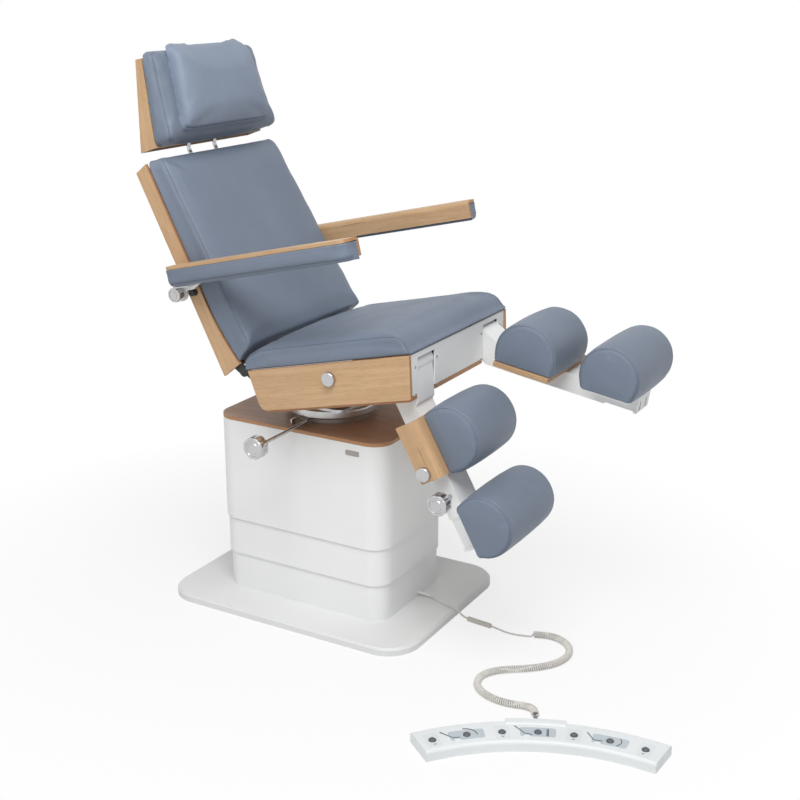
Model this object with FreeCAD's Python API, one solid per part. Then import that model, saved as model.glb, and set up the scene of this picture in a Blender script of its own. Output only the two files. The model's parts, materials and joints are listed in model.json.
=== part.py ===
import FreeCAD, Part
import math
import os

Vector = FreeCAD.Vector

# Podiatry chair. +X is the foot end, +Y the patient's left, +Z up.
# The origin is on the floor, under the middle of the pedestal.

# Clearances and shared stock
overrun = 40.0
seat_gap = 0.3
soft_gap = 0.6
running_gap = 0.3
slide_gap = 0.3
ply = 10.0
frame_plate = 8.0
frame_tube = 30.0
frame_tube_wall = 4.0
pin_radius = 8.0
turn = 360
tiny = 0.000001

# Base plate and the covers of the lift
plate_length = 800.0
plate_width = 600.0
plate_height = 22.0
plate_skin = 5.0
plate_rim = 26.0
plate_corner = 95.0
plate_bevel = 6.0
rib_width = 12.0
rib_shares = (-0.25, 0, 0.25)
cross_rib_shares = (-0.375, -0.1875, 0, 0.1875, 0.375)
cover_length = 550.0
cover_width = 370.0
cover_corner = 58.0
cover_wall = 2.0
cover_step = 4.5
outer_cover_low = 240.0
outer_cover_top = 539.0
middle_cover_low = 130.0
middle_cover_top = 400.0
lower_cover_top = 285.0
top_board_thickness = 10.0
top_board_round = 1.5

# Telescopic column and its drive, inside the covers
column_side = 150.0
column_wall = 5.0
column_corner = 10.0
column_clearance = 0.3
column_flange = 230.0
column_flange_thickness = 10.0
column_base_top = 300.0
column_middle_low = 130.0
column_middle_top = 424.0
column_top_low = 235.0
carrier_thickness = 3.0
drive_centre = 165.0
drive_radius = 42.0
drive_height = 170.0
drive_box_side = 100.0
drive_box_height = 60.0
control_box_length = 60.0
control_box_width = 150.0
control_box_height = 80.0
control_box_centre = -185.0

# Turntable between the pedestal and the seat
neck_radius = 110.0
neck_height = 16.0
spigot_radius = 60.0
spigot_height = 22.0
ring_radius = 135.0
ring_height = 27.0
ring_rim = 6.0
cradle_thickness = 8.0
cradle_rear = -100.0
cradle_front = 112.0
cradle_half_width = 122.0
cradle_corner = 30.0
tilt_axis_x = -75.0
tilt_axis_z = 616.0
tilt_boss = 14.0
tilt_ear_inner = 108.0
tilt_lug_inner = 96.0
tilt_pin_reach = 4.0

# Swivel lock
lock_x = 5.0
lock_height = 9.0
lock_rod_radius = 5.0
lock_rod_inner = 82.0
lock_knob_inner = 352.0
lock_knob_face = 388.0
lock_knob_radius = 30.0
lock_tab_x = -31.0
lock_tab_y = -163.0
lock_tab_width = 18.0
lock_tab_thickness = 4.0
lock_tab_height = 17.0

# Seat, in a frame tilted up towards the foot end
seat_tilt = 13.0
seat_half_width = 275.0
seat_rear = 78.0
seat_front = 584.0
seat_panel_top = 726.0
seat_panel_low = 614.0
seat_panel_front_low = 563.5
seat_panel_rear_low = 94.0
seat_panel_corner = 25.0
seat_board_low = 606.0
seat_board_thickness = 12.0
seat_board_rear = 104.0
front_plate_x = 400.0
front_plate_thickness = 4.0
front_plate_top = 836.0
leg_arm_inset = 137.0
leg_arm_width = 88.0
leg_arm_inner = seat_half_width - leg_arm_inset
slot_gap = 1.0
slot_inner = leg_arm_inner - slot_gap
slot_outer = leg_arm_inner + leg_arm_width + slot_gap
slot_top = 822.0
board_slot_gap = 4.0
board_slot_inner = leg_arm_inner - board_slot_gap
board_slot_outer = leg_arm_inner + leg_arm_width + board_slot_gap
board_slot_rear = 460.0
seat_cushion_rear = 69.0
seat_cushion_height = 57.0
seat_cushion_lean = 31.0
seat_cushion_front = 603.0
seat_cushion_crown = 11.0
cushion_inset = 2.0
cushion_waist = 3.5
cushion_bulge = 2.0
cap_radius = 19.0
cap_height = 12.0
cap_stem = 5.0
cap_round = 3.0
seat_cap_x = 172.0
seat_cap_z = 744.0

seat_section_shares = [
    (0, 1, 1, 0.15, 0), (0.2, 0.5, 1, 0.7, 0.7), (0.45, 0, 1, 1, 1), (0.7, 0, 1, 0.9, 0.8),
    (0.87, 0, 0.98, 0.6, 0.4), (0.95, 0, 0.73, 0.35, 0.2), (1, 0, 0.15, 0.1, 0),
]

# Welded frame inside the seat
side_plate_gap = 13.0
side_plate_inner = seat_half_width - ply - side_plate_gap - frame_plate
front_tube_rear = 415.0
rear_tube_rear = 135.0
recline_axis_x = -110.0
recline_axis_z = 715.0
recline_boss = 13.0
recline_lug_gap = 2.0
recline_lug_inner = side_plate_inner + frame_plate + recline_lug_gap
leg_plate_thickness = 6.0
leg_plate_gap = 4.0
leg_plate_inner = leg_arm_inner - leg_plate_gap - leg_plate_thickness
leg_plate_boss = 22.0
leg_shaft_radius = 10.0

# Backrest, in a frame leaning back from the upright
back_lean = 26.9
back_half_width = seat_half_width
back_rear = 168.8
back_depth = 41.7
back_low = 698.0
back_low_front = 712.0
back_top = 1286.6
back_top_front = 1295.0
back_flare = 23.0
back_flare_start = 806.0
back_flare_radius = 760.0
back_panel_inset = 2.2
back_panel_thickness = 8.0
back_cushion_height = 58.0
back_cushion_lean = 31.0
back_cushion_top = 1303.0
back_cushion_crown = 11.0
back_section_shares = [
    (0, 1, 1, 0.2, 0), (0.08, 0.85, 1, 0.5, 0.3), (0.16, 0.7, 1, 0.7, 0.5), (0.32, 0.35, 1, 0.9, 0.8),
    (0.55, 0.1, 1, 1, 1), (0.8, 0, 1, 0.8, 0.6), (0.95, 0, 0.99, 0.5, 0.3), (1, 0, 0.92, 0.2, 0),
]
back_frame_front = 204.0
back_frame_depth = 24.0
back_upright_inset = 95.0
back_upright_inner = back_half_width - back_upright_inset
back_frame_low = 745.0
back_frame_high = 1210.0
arm_axis_x = -288.0
arm_axis_z = 917.0
arm_tube_radius = 10.5
arm_tube_reach = 6.0
arm_tube_half = back_half_width + arm_tube_reach
arm_saddle_gap = 5.0
arm_saddle_inner = back_upright_inner + arm_saddle_gap
arm_saddle_width = 22.0
arm_saddle_half = 15.0
arm_stub_radius = 6.0
arm_stub_reach = 28.0
arm_stub_end = back_half_width + arm_stub_reach
stop_x = -252.0
stop_z = 921.0
stop_radius = 9.0
stop_inset = 13.0
stop_reach = 16.0
stop_inner = back_half_width - stop_inset
stop_end = back_half_width + stop_reach

# Headrest on two rods
rod_radius = 6.0
rod_spacing_half = 58.0
rod_front = 194.0
rod_low = 1100.0
rod_bend_z = 1266.0
rod_bend_radius = 30.0
rod_top_z = 1450.0
rod_guide_radius = 10.0
rod_guide_low = 1120.0
rod_bar_height = 24.0
rod_bar_thickness = 5.0
rod_bar_overlap = 1.2
rod_bar_shares = (0.3, 0.85)
head_half_low = 240.0
head_half_high = 230.0
head_rear_low_x = -441.0
head_rear_low_z = 1272.0
head_rear_high_x = -450.0
head_rear_high_z = 1515.0
head_board_low_x = -392.0
head_board_low_z = 1289.0
head_board_high_x = -430.0
head_board_high_z = 1519.0
head_wall = 6.0
head_cushion_low_x = -342.0
head_cushion_low_z = 1303.0
head_cushion_high_x = -394.0
head_cushion_high_z = 1526.0
head_cushion_crown = 8.0
head_section_shares = [(0, 0.93, 0.2, 0), (0.12, 1, 0.7, 0.4), (0.5, 1, 1, 1), (0.88, 1, 0.7, 0.4), (1, 0.9, 0.2, 0)]
pillow_half_width = 185.0
pillow_low_z = 1334.0
pillow_neck_z = 1400.0
pillow_high_z = 1528.0
pillow_top_z = 1560.0
pillow_neck_x = -314.0
pillow_high_x = -339.0
pillow_saddle = 7.0
pillow_belly = 9.0
pillow_section_shares = [
    (-1, 0.8, 0.35), (-0.9, 1, 0), (-0.45, 1, 0.8), (0, 1, 1), (0.45, 1, 0.8), (0.9, 1, 0), (1, 0.8, 0.35),
]

# Armrests, tilted like the seat
arm_tilt = 13.0
arm_rear = -68.0
arm_front = 518.0
arm_top = 1037.0
arm_gap = 17.0
arm_inner = back_half_width + arm_gap
arm_wood_width = 58.0
arm_wood = 8.0
arm_wood_height = 48.0
arm_corner = 27.0
arm_bend_radius = 12.0
arm_pad_drop = 56.0
arm_pad_width = 64.0
arm_pad_outer = arm_inner + arm_pad_width
arm_pad_round = 12.0
arm_pad_bend = 5.5
arm_bracket_inset = 8.0
arm_bracket_inner = arm_inner - arm_bracket_inset
arm_bracket_thickness = 7.0
arm_bracket_radius = 22.0
arm_bracket_front = -5.0
arm_bracket_tip = 5.0
arm_bracket_share = 0.4
arm_flange = 4.0
arm_flange_width = 52.0
arm_knob_radius = 20.0
arm_knob_depth = 27.0

# Leg rests: sizes along the arm and square to it, from the pivot
leg_axis_x = 369.0
leg_axis_z = 798.0
leg_angle_right = 61.0
leg_angle_left = 9.2
leg_boss = 30.5
root_sine_share = 0.82
root_cosine_share = 0.57
leg_tube_start = 101.0
leg_tube_step = 108.0
leg_tube_end = 410.0
leg_tube_high = -25.5
leg_tube_low = -77.5
leg_tube_wall = 3.0
leg_root_high = -16.0
leg_root_low = 56.0
leg_bore_start = 112.0
leg_board_rear = 135.0
leg_board_front = 292.0
leg_board_high = -8.5
leg_board_thickness = 14.0
leg_board_inner = 6.0
leg_flange_reach = 5.0
leg_flange_outer = seat_half_width + leg_flange_reach
leg_flange_thickness = 10.0
leg_flange_low = -73.5
leg_bend_radius = 24.0
leg_cap_along = 268.0
leg_cap_across = -51.5
calf_pad_centre = 215.0
calf_pad_radius = 85.0
calf_pad_rise = 30.0
calf_pad_inner = 7.0
calf_pad_inset = 46.0
calf_pad_outer = seat_half_width - calf_pad_inset
foot_pad_centre = 446.0
foot_pad_radius = 76.0
foot_pad_rise = 37.0
foot_pad_inner = 12.0
foot_pad_outer = seat_half_width
pad_end_draw = 5.0
pad_arc_angle = 35
pad_section_shares = [(0, 1), (0.12, 0.35), (0.5, 0), (0.88, 0.35), (1, 1)]
slide_start = 240.0
slide_end = 492.0
slide_end_plate = 500.0
slide_riser_start = 424.0
slide_riser_end = 496.0
slide_plate_rear = 382.0
slide_plate_front = 510.0
slide_plate_thickness = 4.0
slide_plate_inner = 18.0
slide_plate_inset = 7.0
slide_plate_outer = seat_half_width - slide_plate_inset
slide_slot_width = 9.0
slide_slot_height = 26.0
slide_slot_offset = 22.0
leg_knob_along = 352.0
leg_knob_across = -46.5
leg_knob_radius = 28.0
leg_knob_gap = 36.0
leg_knob_depth = 35.0
leg_knob_start = leg_arm_inner + leg_arm_width + leg_knob_gap
leg_knob_face = leg_knob_start + leg_knob_depth
leg_screw_radius = 6.0

# Star knobs
star_flutes = 8
star_flute_share = 0.24
collar_share = 0.55
collar_depth = 9.0

# Foot control on the floor
pedal_centre_x = 1118.0
pedal_centre_y = -1001.0
pedal_inner = 552.0
pedal_outer = 645.0
pedal_first_angle = 86.5
pedal_last_angle = 143.0
pedal_height = 28.0
pedal_round = 9.0
pedal_housing_inner = 622.0
pedal_housing_outer = 652.0
pedal_housing_height = 32.0
pedal_housing_first_angle = 109.0
pedal_housing_last_angle = 122.0
button_count = 7
button_ring = 592.0
button_first_angle = 139.8
button_step_angle = 8.2
button_radius = 9.0
button_gap = 0.4
button_pocket = 10.0
button_height = 12.0
button_dome = 3.0
button_dome_share = 0.6
button_sink = 7.0

# Cord between the pedestal and the foot control
cord_radius = 2.5
curl_radius = 10.0
curl_wire_radius = 2.25
curl_count = 96
curl_lead = 4.5
curl_run_in = 6.0
curl_first_turn = 0.25
curl_probe = 0.001
curl_samples = 13
gland_radius = 7.0
gland_tip_share = 0.7
inlet_width = 28.0
inlet_height = 22.0
inlet_depth = 14.0
inlet_z = 60.0
inlet_proud = 1.5
connector_radius = 7.0
connector_bore_gap = 0.8
connector_reach = 20.0
relief_length = 34.0
relief_radius = 6.0
relief_tip_share = 0.8
relief_angle = 115.5
relief_height = 11.0
arc_share = 0.45
cord_route = [
    (278.0, 34.0, 29.5), (303.0, 34.0, 29.5), (345.0, 19.5, 25.4), (378.0, 8.5, 25.6),
    (405.0, 3.0, 26.5), (428.0, -1.5, 8.8), (462.0, -4.0, 7.4), (500.0, -7.6, 7.3),
    (532.0, -11.2, 7.0), (568.0, -15.0, 3.2), (592.0, -13.0, 2.8), (611.0, -9.5, 2.6), (635.0, -2.0, 2.55),
]
curl_route = [
    (635.0, -2.0, 10.3), (655.0, 4.2, 10.3), (690.0, 17.0, 10.3), (730.0, 7.0, 10.3),
    (760.0, -20.0, 10.3), (774.0, -62.0, 10.3), (766.0, -108.0, 10.3), (736.0, -151.0, 10.3),
    (700.0, -183.0, 10.3), (662.0, -208.0, 10.3), (631.0, -238.0, 10.3), (617.0, -275.0, 10.3),
    (628.0, -317.0, 10.3), (661.0, -345.0, 10.3), (705.0, -358.0, 10.3), (748.0, -356.0, 10.3),
    (783.0, -345.0, 10.4), (809.0, -353.0, 11.0),
]


def level(x, z, y):
    """Point from side-view coordinates."""
    return Vector(x, y, z)


def tilted(origin_x, origin_z, angle):
    """Return a side-view frame turned up by the angle about the Y axis."""
    cosine = math.cos(math.radians(angle))
    sine = math.sin(math.radians(angle))

    def point(u, v, y):
        return Vector(origin_x + u * cosine - v * sine, y, origin_z + u * sine + v * cosine)

    return point


def in_frame(x, z, angle):
    """Side-view coordinates of a world point in a frame turned at the origin."""
    cosine = math.cos(math.radians(angle))
    sine = math.sin(math.radians(angle))
    return x * cosine + z * sine, z * cosine - x * sine


seat_point = tilted(0, 0, seat_tilt)
back_point = tilted(0, 0, back_lean)
arm_point = tilted(0, 0, arm_tilt)
recline_s, recline_n = in_frame(recline_axis_x, recline_axis_z, seat_tilt)
tilt_s, tilt_n = in_frame(tilt_axis_x, tilt_axis_z, seat_tilt)
leg_s, leg_n = in_frame(leg_axis_x, leg_axis_z, seat_tilt)
recline_f, recline_b = in_frame(recline_axis_x, recline_axis_z, back_lean)
arm_f, arm_b = in_frame(arm_axis_x, arm_axis_z, back_lean)
arm_s, arm_n = in_frame(arm_axis_x, arm_axis_z, arm_tilt)
back_front = back_rear + back_depth
seat_board_top = seat_board_low + seat_board_thickness
board_low = outer_cover_top + seat_gap
board_top = board_low + top_board_thickness


def rounded_wire(place, corners):
    """Closed wire through (u, v, corner radius) corners, with tangent arcs."""
    spots = [Vector(u, v, 0) for u, v, radius in corners]
    starts, middles, ends = [], [], []
    for index, (u, v, radius) in enumerate(corners):
        here = spots[index]
        back = (spots[index - 1] - here).normalize()
        ahead = (spots[(index + 1) % len(spots)] - here).normalize()
        half = back.getAngle(ahead) / 2
        bisector = (back + ahead).normalize()
        starts.append(here + back * (radius / math.tan(half)))
        ends.append(here + ahead * (radius / math.tan(half)))
        middles.append(here + bisector * (radius / math.sin(half) - radius))
    edges = []
    for index, (u, v, radius) in enumerate(corners):
        start = place(starts[index].x, starts[index].y)
        end = place(ends[index].x, ends[index].y)
        if radius > 0:
            middle = place(middles[index].x, middles[index].y)
            edges.append(Part.Arc(start, middle, end).toShape())
        after = (index + 1) % len(corners)
        following = place(starts[after].x, starts[after].y)
        if end.distanceToPoint(following) > tiny:
            edges.append(Part.LineSegment(end, following).toShape())
    return Part.Wire(edges)


def slab(point, corners, y_low, y_high):
    """Side-view outline drawn out across the chair."""
    wire = rounded_wire(lambda u, v: point(u, v, y_low), corners)
    return Part.Face(wire).extrude(Vector(0, y_high - y_low, 0))


def sharp(*corners):
    """Corners without a radius."""
    return [(u, v, 0) for u, v in corners]


def bar(point, u_low, u_high, v_low, v_high, y_low, y_high):
    """Rectangular block in a side-view frame."""
    outline = sharp((u_low, v_low), (u_high, v_low), (u_high, v_high), (u_low, v_high))
    return slab(point, outline, y_low, y_high)


def cross_pin(point, u, v, radius, y_low, y_high):
    """Round pin across the chair."""
    return Part.makeCylinder(radius, y_high - y_low, point(u, v, y_low), Vector(0, 1, 0))


def plan_prism(length, width, corner, z_low, z_high):
    """Rounded rectangle in plan, centred on the origin."""
    x, y = length / 2, width / 2
    corners = [(-x, -y, corner), (x, -y, corner), (x, y, corner), (-x, y, corner)]
    wire = rounded_wire(lambda u, v: Vector(u, v, z_low), corners)
    return Part.Face(wire).extrude(Vector(0, 0, z_high - z_low))


def tube_prism(length, width, corner, wall, z_low, z_high):
    """Open-ended rounded rectangular tube."""
    outer = plan_prism(length, width, corner, z_low, z_high)
    inner = plan_prism(length - 2 * wall, width - 2 * wall, corner - wall, z_low - overrun, z_high + overrun)
    return outer.cut(inner)


def ring_solid(profile, centre, first_angle, sweep_angle):
    """Turned solid from (radius, height, corner radius) corners about a vertical axis."""
    wire = rounded_wire(lambda u, v: centre + Vector(u, 0, v), profile)
    solid = Part.Face(wire).revolve(centre, Vector(0, 0, 1), sweep_angle)
    solid.rotate(centre, Vector(0, 0, 1), first_angle)
    return solid


def both_sides(solid):
    """The solid and its mirror image across the middle of the chair."""
    return [solid, solid.mirror(Vector(0, 0, 0), Vector(0, 1, 0))]


def on_side(solids, side):
    """Leave the solids on the left, or mirror them to the right."""
    if side > 0:
        return solids
    return [solid.mirror(Vector(0, 0, 0), Vector(0, 1, 0)) for solid in solids]


def fused(solids):
    """One welded solid."""
    return solids[0].multiFuse(solids[1:]).removeSplitter()


def cushion_section(point, low, high, half_low, half_high, crown):
    """Closed section of a cushion: flat base, bulging sides, crowned top."""
    rise = Vector(high[0] - low[0], high[1] - low[1], 0)
    peak = Vector(high[0], high[1], 0) + rise.normalize() * crown
    middle_u, middle_v = (low[0] + high[0]) / 2, (low[1] + high[1]) / 2
    half_middle = (half_low + half_high) / 2 + cushion_bulge
    right_low = point(low[0], low[1], -half_low)
    left_low = point(low[0], low[1], half_low)
    left_high = point(high[0], high[1], half_high)
    right_high = point(high[0], high[1], -half_high)
    return Part.Wire([
        Part.LineSegment(right_low, left_low).toShape(),
        Part.Arc(left_low, point(middle_u, middle_v, half_middle), left_high).toShape(),
        Part.Arc(left_high, point(peak.x, peak.y, 0), right_high).toShape(),
        Part.Arc(right_high, point(middle_u, middle_v, -half_middle), right_low).toShape(),
    ])


def star_knob(radius, start, face):
    """Lobed clamping knob along Y, with a round collar on its inner side."""
    across = Vector(0, 1, 0)
    head_start = start + collar_depth
    head = Part.makeCylinder(radius, face - head_start, across * head_start, across)
    flute_radius = radius * star_flute_share
    flute_ring = radius + flute_radius * star_flute_share
    flutes = []
    for index in range(star_flutes):
        angle = 2 * math.pi * index / star_flutes
        spot = Vector(flute_ring * math.cos(angle), start, flute_ring * math.sin(angle))
        flutes.append(Part.makeCylinder(flute_radius, face - start + overrun, spot, across))
    head = head.cut(flutes[0].multiFuse(flutes[1:]))
    collar = Part.makeCylinder(radius * collar_share, collar_depth, across * start, across)
    return fused([head, collar])


def route_edges(route):
    """Straight runs joined by tangent arcs, and the tightest radius."""
    spots = [Vector(*place) for place in route]
    edges, cut_back, tightest = [], spots[0], overrun * overrun
    for before, here, after in zip(spots, spots[1:], spots[2:]):
        back, ahead = before - here, after - here
        shorter = min(back.Length, ahead.Length)
        half = back.getAngle(ahead) / 2
        reach = arc_share * shorter
        bend = reach * math.tan(half)
        bisector = (back.normalize() + ahead.normalize()).normalize()
        start, end = here + back * reach, here + ahead * reach
        middle = here + bisector * (bend / math.sin(half) - bend)
        edges.append(Part.LineSegment(cut_back, start).toShape())
        edges.append(Part.Arc(start, middle, end).toShape())
        tightest = min(tightest, bend)
        cut_back = end
    edges.append(Part.LineSegment(cut_back, spots[-1]).toShape())
    return edges, tightest


def round_tube(edges, tightest, radius, name):
    """Round cord swept along tangent edges, measured against its length."""
    first = edges[0]
    start = first.FirstParameter
    circle = Part.Wire([Part.makeCircle(radius, first.valueAt(start), first.tangentAt(start))])
    tube = Part.Wire(edges).makePipeShell([circle], True, False)
    length = sum(edge.Length for edge in edges)
    share = tube.Volume / (math.pi * radius * radius * length)
    print(name, "length", round(length), "tightest radius", round(tightest, 1), "volume share", round(share, 3))
    return tube


def tangent_arc(start, along, end):
    """Arc from start, tangent to a direction there, to end, and its radius."""
    chord = end - start
    half = chord.getAngle(along)
    across = (along - chord * (along.dot(chord) / chord.dot(chord))).normalize()
    radius = chord.Length / (2 * math.sin(half))
    middle = (start + end) / 2 + across * (radius * (1 - math.cos(half)))
    return Part.Arc(start, middle, end).toShape(), radius


def biarc(start, along, end, onward):
    """Two tangent arcs between two points, each with its direction."""
    chord = end - start
    spread = 2 * (1 - along.dot(onward))
    lean = chord.dot(along + onward)
    reach = (math.sqrt(lean * lean + spread * chord.dot(chord)) - lean) / spread
    joint = (start + end + (along - onward) * reach) / 2
    between = (joint - start - along * reach).normalize()
    return [tangent_arc(start, along, joint), tangent_arc(joint, between, end)]


def curl_spot(edges, distance, turns):
    """Point of the curls beside the middle line, from its lowest side on."""
    for edge in edges:
        if distance <= edge.Length:
            break
        distance -= edge.Length
    place = edge.getParameterByLength(min(distance, edge.Length))
    here, along = edge.valueAt(place), edge.tangentAt(place)
    side = Vector(0, 0, 1).cross(along).normalize()
    angle = 2 * math.pi * turns
    offset = side * math.sin(angle) - along.cross(side) * math.cos(angle)
    return here + offset * (curl_radius - curl_wire_radius)


def curls(route):
    """Arcs of a curly cord's wire, straight at both its ends, and their radii."""
    edges = route_edges(route)[0]
    total = sum(edge.Length for edge in edges)
    margin = curl_lead + curl_run_in
    rate = curl_count / (total - 2 * margin)

    def spot(turns):
        return curl_spot(edges, margin + turns / rate, turns + curl_first_turn)

    def heading(turns):
        return (spot(turns + curl_probe) - spot(turns - curl_probe)).normalize()

    first, last = edges[0], edges[-1]
    start = curl_spot(edges, 0, 0)
    lead_in = first.tangentAt(first.FirstParameter)
    lead_out = last.tangentAt(last.LastParameter)
    end = last.valueAt(last.LastParameter)
    steps = [index / 2 for index in range(2 * curl_count + 1)]
    knots = [(start + lead_in * curl_lead, lead_in)] + [(spot(step), heading(step)) for step in steps]
    knots.append((end - lead_out * curl_lead, lead_out))
    arcs = []
    for (here, along), (there, onward) in zip(knots, knots[1:]):
        arcs += biarc(here, along, there, onward)
    wire = [Part.LineSegment(start, knots[0][0]).toShape()] + [arc for arc, radius in arcs]
    wire.append(Part.LineSegment(knots[-1][0], end).toShape())
    return wire, min(radius for arc, radius in arcs)


def gap_to_itself(edges, radius):
    """Least gap between neighbouring curls, measured on points of the wire."""
    points = []
    for edge in edges[1:-1]:
        points += edge.discretize(curl_samples)[:-1]
    per_turn = 4 * (curl_samples - 1)
    least = overrun
    for index, point in enumerate(points):
        for other in points[index + per_turn // 3:index + 2 * per_turn]:
            least = min(least, point.distanceToPoint(other))
    return least - 2 * radius


def base_plate():
    """Pressed plate with a bevelled rim, hollow below, with stiffening ribs."""
    plate = plan_prism(plate_length, plate_width, plate_corner, 0, plate_height)
    rim_edges = [edge for edge in plate.Edges if edge.BoundBox.ZMin > plate_height - seat_gap]
    plate = plate.makeChamfer(plate_bevel, rim_edges)
    hollow = plan_prism(plate_length - 2 * plate_rim, plate_width - 2 * plate_rim,
                        plate_corner - plate_rim, -overrun, plate_height - plate_skin)
    long_rib = Part.makeBox(plate_length, rib_width, plate_height,
                            Vector(-plate_length / 2, -rib_width / 2, 0))
    cross_rib = Part.makeBox(rib_width, plate_width, plate_height,
                             Vector(-rib_width / 2, -plate_width / 2, 0))
    ribs = [long_rib.translated(Vector(0, share * plate_width, 0)) for share in rib_shares]
    ribs += [cross_rib.translated(Vector(share * plate_length, 0, 0)) for share in cross_rib_shares]
    return [plate.cut(hollow.cut(ribs[0].multiFuse(ribs[1:])))]


def cover(level_inset, z_low, z_high):
    """One of the three nested sheet covers of the lift."""
    inset = 2 * level_inset * cover_step
    return tube_prism(cover_length - inset, cover_width - inset, cover_corner - inset / 2,
                      cover_wall, z_low, z_high)


def inlet_block():
    """Mains inlet, set into the rear wall of the lower cover."""
    rear = -(cover_length / 2 - 2 * cover_step) - inlet_proud
    return Part.makeBox(inlet_depth, inlet_width, inlet_height, Vector(rear, -inlet_width / 2, inlet_z))


def lower_cover():
    return [cover(2, plate_height, lower_cover_top).cut(inlet_block())]


def pedestal_top_board():
    board = plan_prism(cover_length, cover_width, cover_corner, board_low, board_top)
    top_edges = [edge for edge in board.Edges if edge.BoundBox.ZMin > board_top - seat_gap]
    return [board.makeFillet(top_board_round, top_edges)]


def column_tube(inset, z_low, z_high):
    """Square tube of the telescopic column, nested by a wall and a clearance."""
    side = column_side - 2 * inset * (column_wall + column_clearance)
    return tube_prism(side, side, column_corner, column_wall, z_low, z_high)


def lift_column_base():
    tube = column_tube(0, plate_height, column_base_top)
    flange = plan_prism(column_flange, column_flange, column_corner, plate_height,
                        plate_height + column_flange_thickness)
    bore = column_side - 2 * column_wall
    flange = flange.cut(plan_prism(bore, bore, column_wall, 0, column_base_top))
    motor = Part.makeCylinder(drive_radius, drive_height, Vector(drive_centre, 0, plate_height))
    gearbox = Part.makeBox(drive_box_side, drive_box_side, drive_box_height,
                           Vector(drive_centre - drive_box_side / 2, -drive_box_side / 2, plate_height))
    gearbox = gearbox.cut(tube).cut(flange)
    control_box = Part.makeBox(control_box_length, control_box_width, control_box_height,
                               Vector(control_box_centre - control_box_length / 2,
                                      -control_box_width / 2, plate_height))
    return [fused([tube, flange]), fused([motor, gearbox]), control_box]


def carrier(inset, z_low, thickness, opening):
    """Plate that carries a cover on the column."""
    margin = 2 * (inset * cover_step + cover_wall + seat_gap)
    corner = cover_corner - margin / 2
    plate = plan_prism(cover_length - margin, cover_width - margin, corner, z_low, z_low + thickness)
    if opening > 0:
        plate = plate.cut(plan_prism(opening, opening, column_wall, z_low - overrun, z_low + overrun))
    return plate


def lift_column_middle():
    tube = column_tube(1, column_middle_low, column_middle_top)
    opening = column_side - 2 * (column_wall + column_clearance) - 2 * column_wall
    plate = carrier(1, middle_cover_top - carrier_thickness, carrier_thickness, opening)
    return [fused([tube, plate])]


def lift_column_top():
    plate_low = outer_cover_top - carrier_thickness
    tube = column_tube(2, column_top_low, plate_low)
    return [fused([tube, carrier(0, plate_low, carrier_thickness, 0)])]


def swivel_base():
    """Fixed neck with the spigot that the turntable runs on, and the lock's boss."""
    neck = ring_solid([(0, 0, 0), (neck_radius, 0, 0), (neck_radius, neck_height, 0),
                       (spigot_radius, neck_height, 0), (spigot_radius, neck_height + spigot_height, 0),
                       (0, neck_height + spigot_height, 0)], Vector(0, 0, board_top), 0, turn)
    bore = Part.makeCylinder(lock_rod_radius + running_gap, neck_radius + overrun,
                             Vector(lock_x, -lock_rod_inner, board_top + lock_height), Vector(0, -1, 0))
    tab = Part.makeBox(lock_tab_thickness, lock_tab_width, lock_tab_height,
                       Vector(lock_tab_x, lock_tab_y, board_top))
    return [neck.cut(bore), tab]


def swivel_lock():
    """Long clamping screw with its star knob, along -Y."""
    reach = lock_knob_inner - lock_rod_inner - running_gap
    rod = Part.makeCylinder(lock_rod_radius, reach, Vector(0, lock_rod_inner + running_gap, 0),
                            Vector(0, 1, 0))
    knob = star_knob(lock_knob_radius, lock_knob_inner, lock_knob_face)
    solid = fused([rod, knob])
    solid.rotate(Vector(0, 0, 0), Vector(0, 0, 1), turn / 2)
    solid.translate(Vector(lock_x, 0, board_top + lock_height))
    return [solid]


def turntable():
    """Stainless ring over the spigot and the cradle with the seat's tilt ears."""
    ring_low = neck_height + running_gap
    ring = ring_solid([(spigot_radius + running_gap, ring_low, 0), (ring_radius, ring_low, ring_rim),
                       (ring_radius, ring_low + ring_height, ring_rim),
                       (spigot_radius + running_gap, ring_low + ring_height, 0)],
                      Vector(0, 0, board_top), 0, turn)
    cradle_low = board_top + ring_low + ring_height
    x_low, x_high, y = cradle_rear, cradle_front, cradle_half_width
    corners = [(x_low, -y, cradle_corner), (x_high, -y, cradle_corner),
               (x_high, y, cradle_corner), (x_low, y, cradle_corner)]
    wire = rounded_wire(lambda u, v: Vector(u, v, cradle_low), corners)
    deck = Part.Face(wire).extrude(Vector(0, 0, cradle_thickness))
    y_low, y_high = tilt_ear_inner, tilt_ear_inner + frame_plate
    foot = bar(level, tilt_axis_x - tilt_boss, tilt_axis_x + tilt_boss,
               cradle_low, tilt_axis_z, y_low, y_high)
    ear = fused([cross_pin(level, tilt_axis_x, tilt_axis_z, tilt_boss, y_low, y_high), foot])
    pin = cross_pin(level, tilt_axis_x, tilt_axis_z, pin_radius,
                    tilt_lug_inner - tilt_pin_reach, y_high)
    return [ring, fused([deck] + both_sides(ear) + both_sides(pin))]


def seat_side_panels():
    """Oak side boards of the seat with a slanted rear edge."""
    outline = [(seat_rear, seat_panel_top, 0), (seat_front, seat_panel_top, 0),
               (seat_panel_front_low, seat_panel_low, 0),
               (seat_panel_rear_low, seat_panel_low, seat_panel_corner)]
    panel = slab(seat_point, outline, seat_half_width - ply, seat_half_width)
    s, n = in_frame(seat_cap_x, seat_cap_z, seat_tilt)
    hole = cross_pin(seat_point, s, n, cap_stem + running_gap, seat_half_width - overrun, seat_half_width + ply)
    return both_sides(panel.cut(hole))


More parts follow.
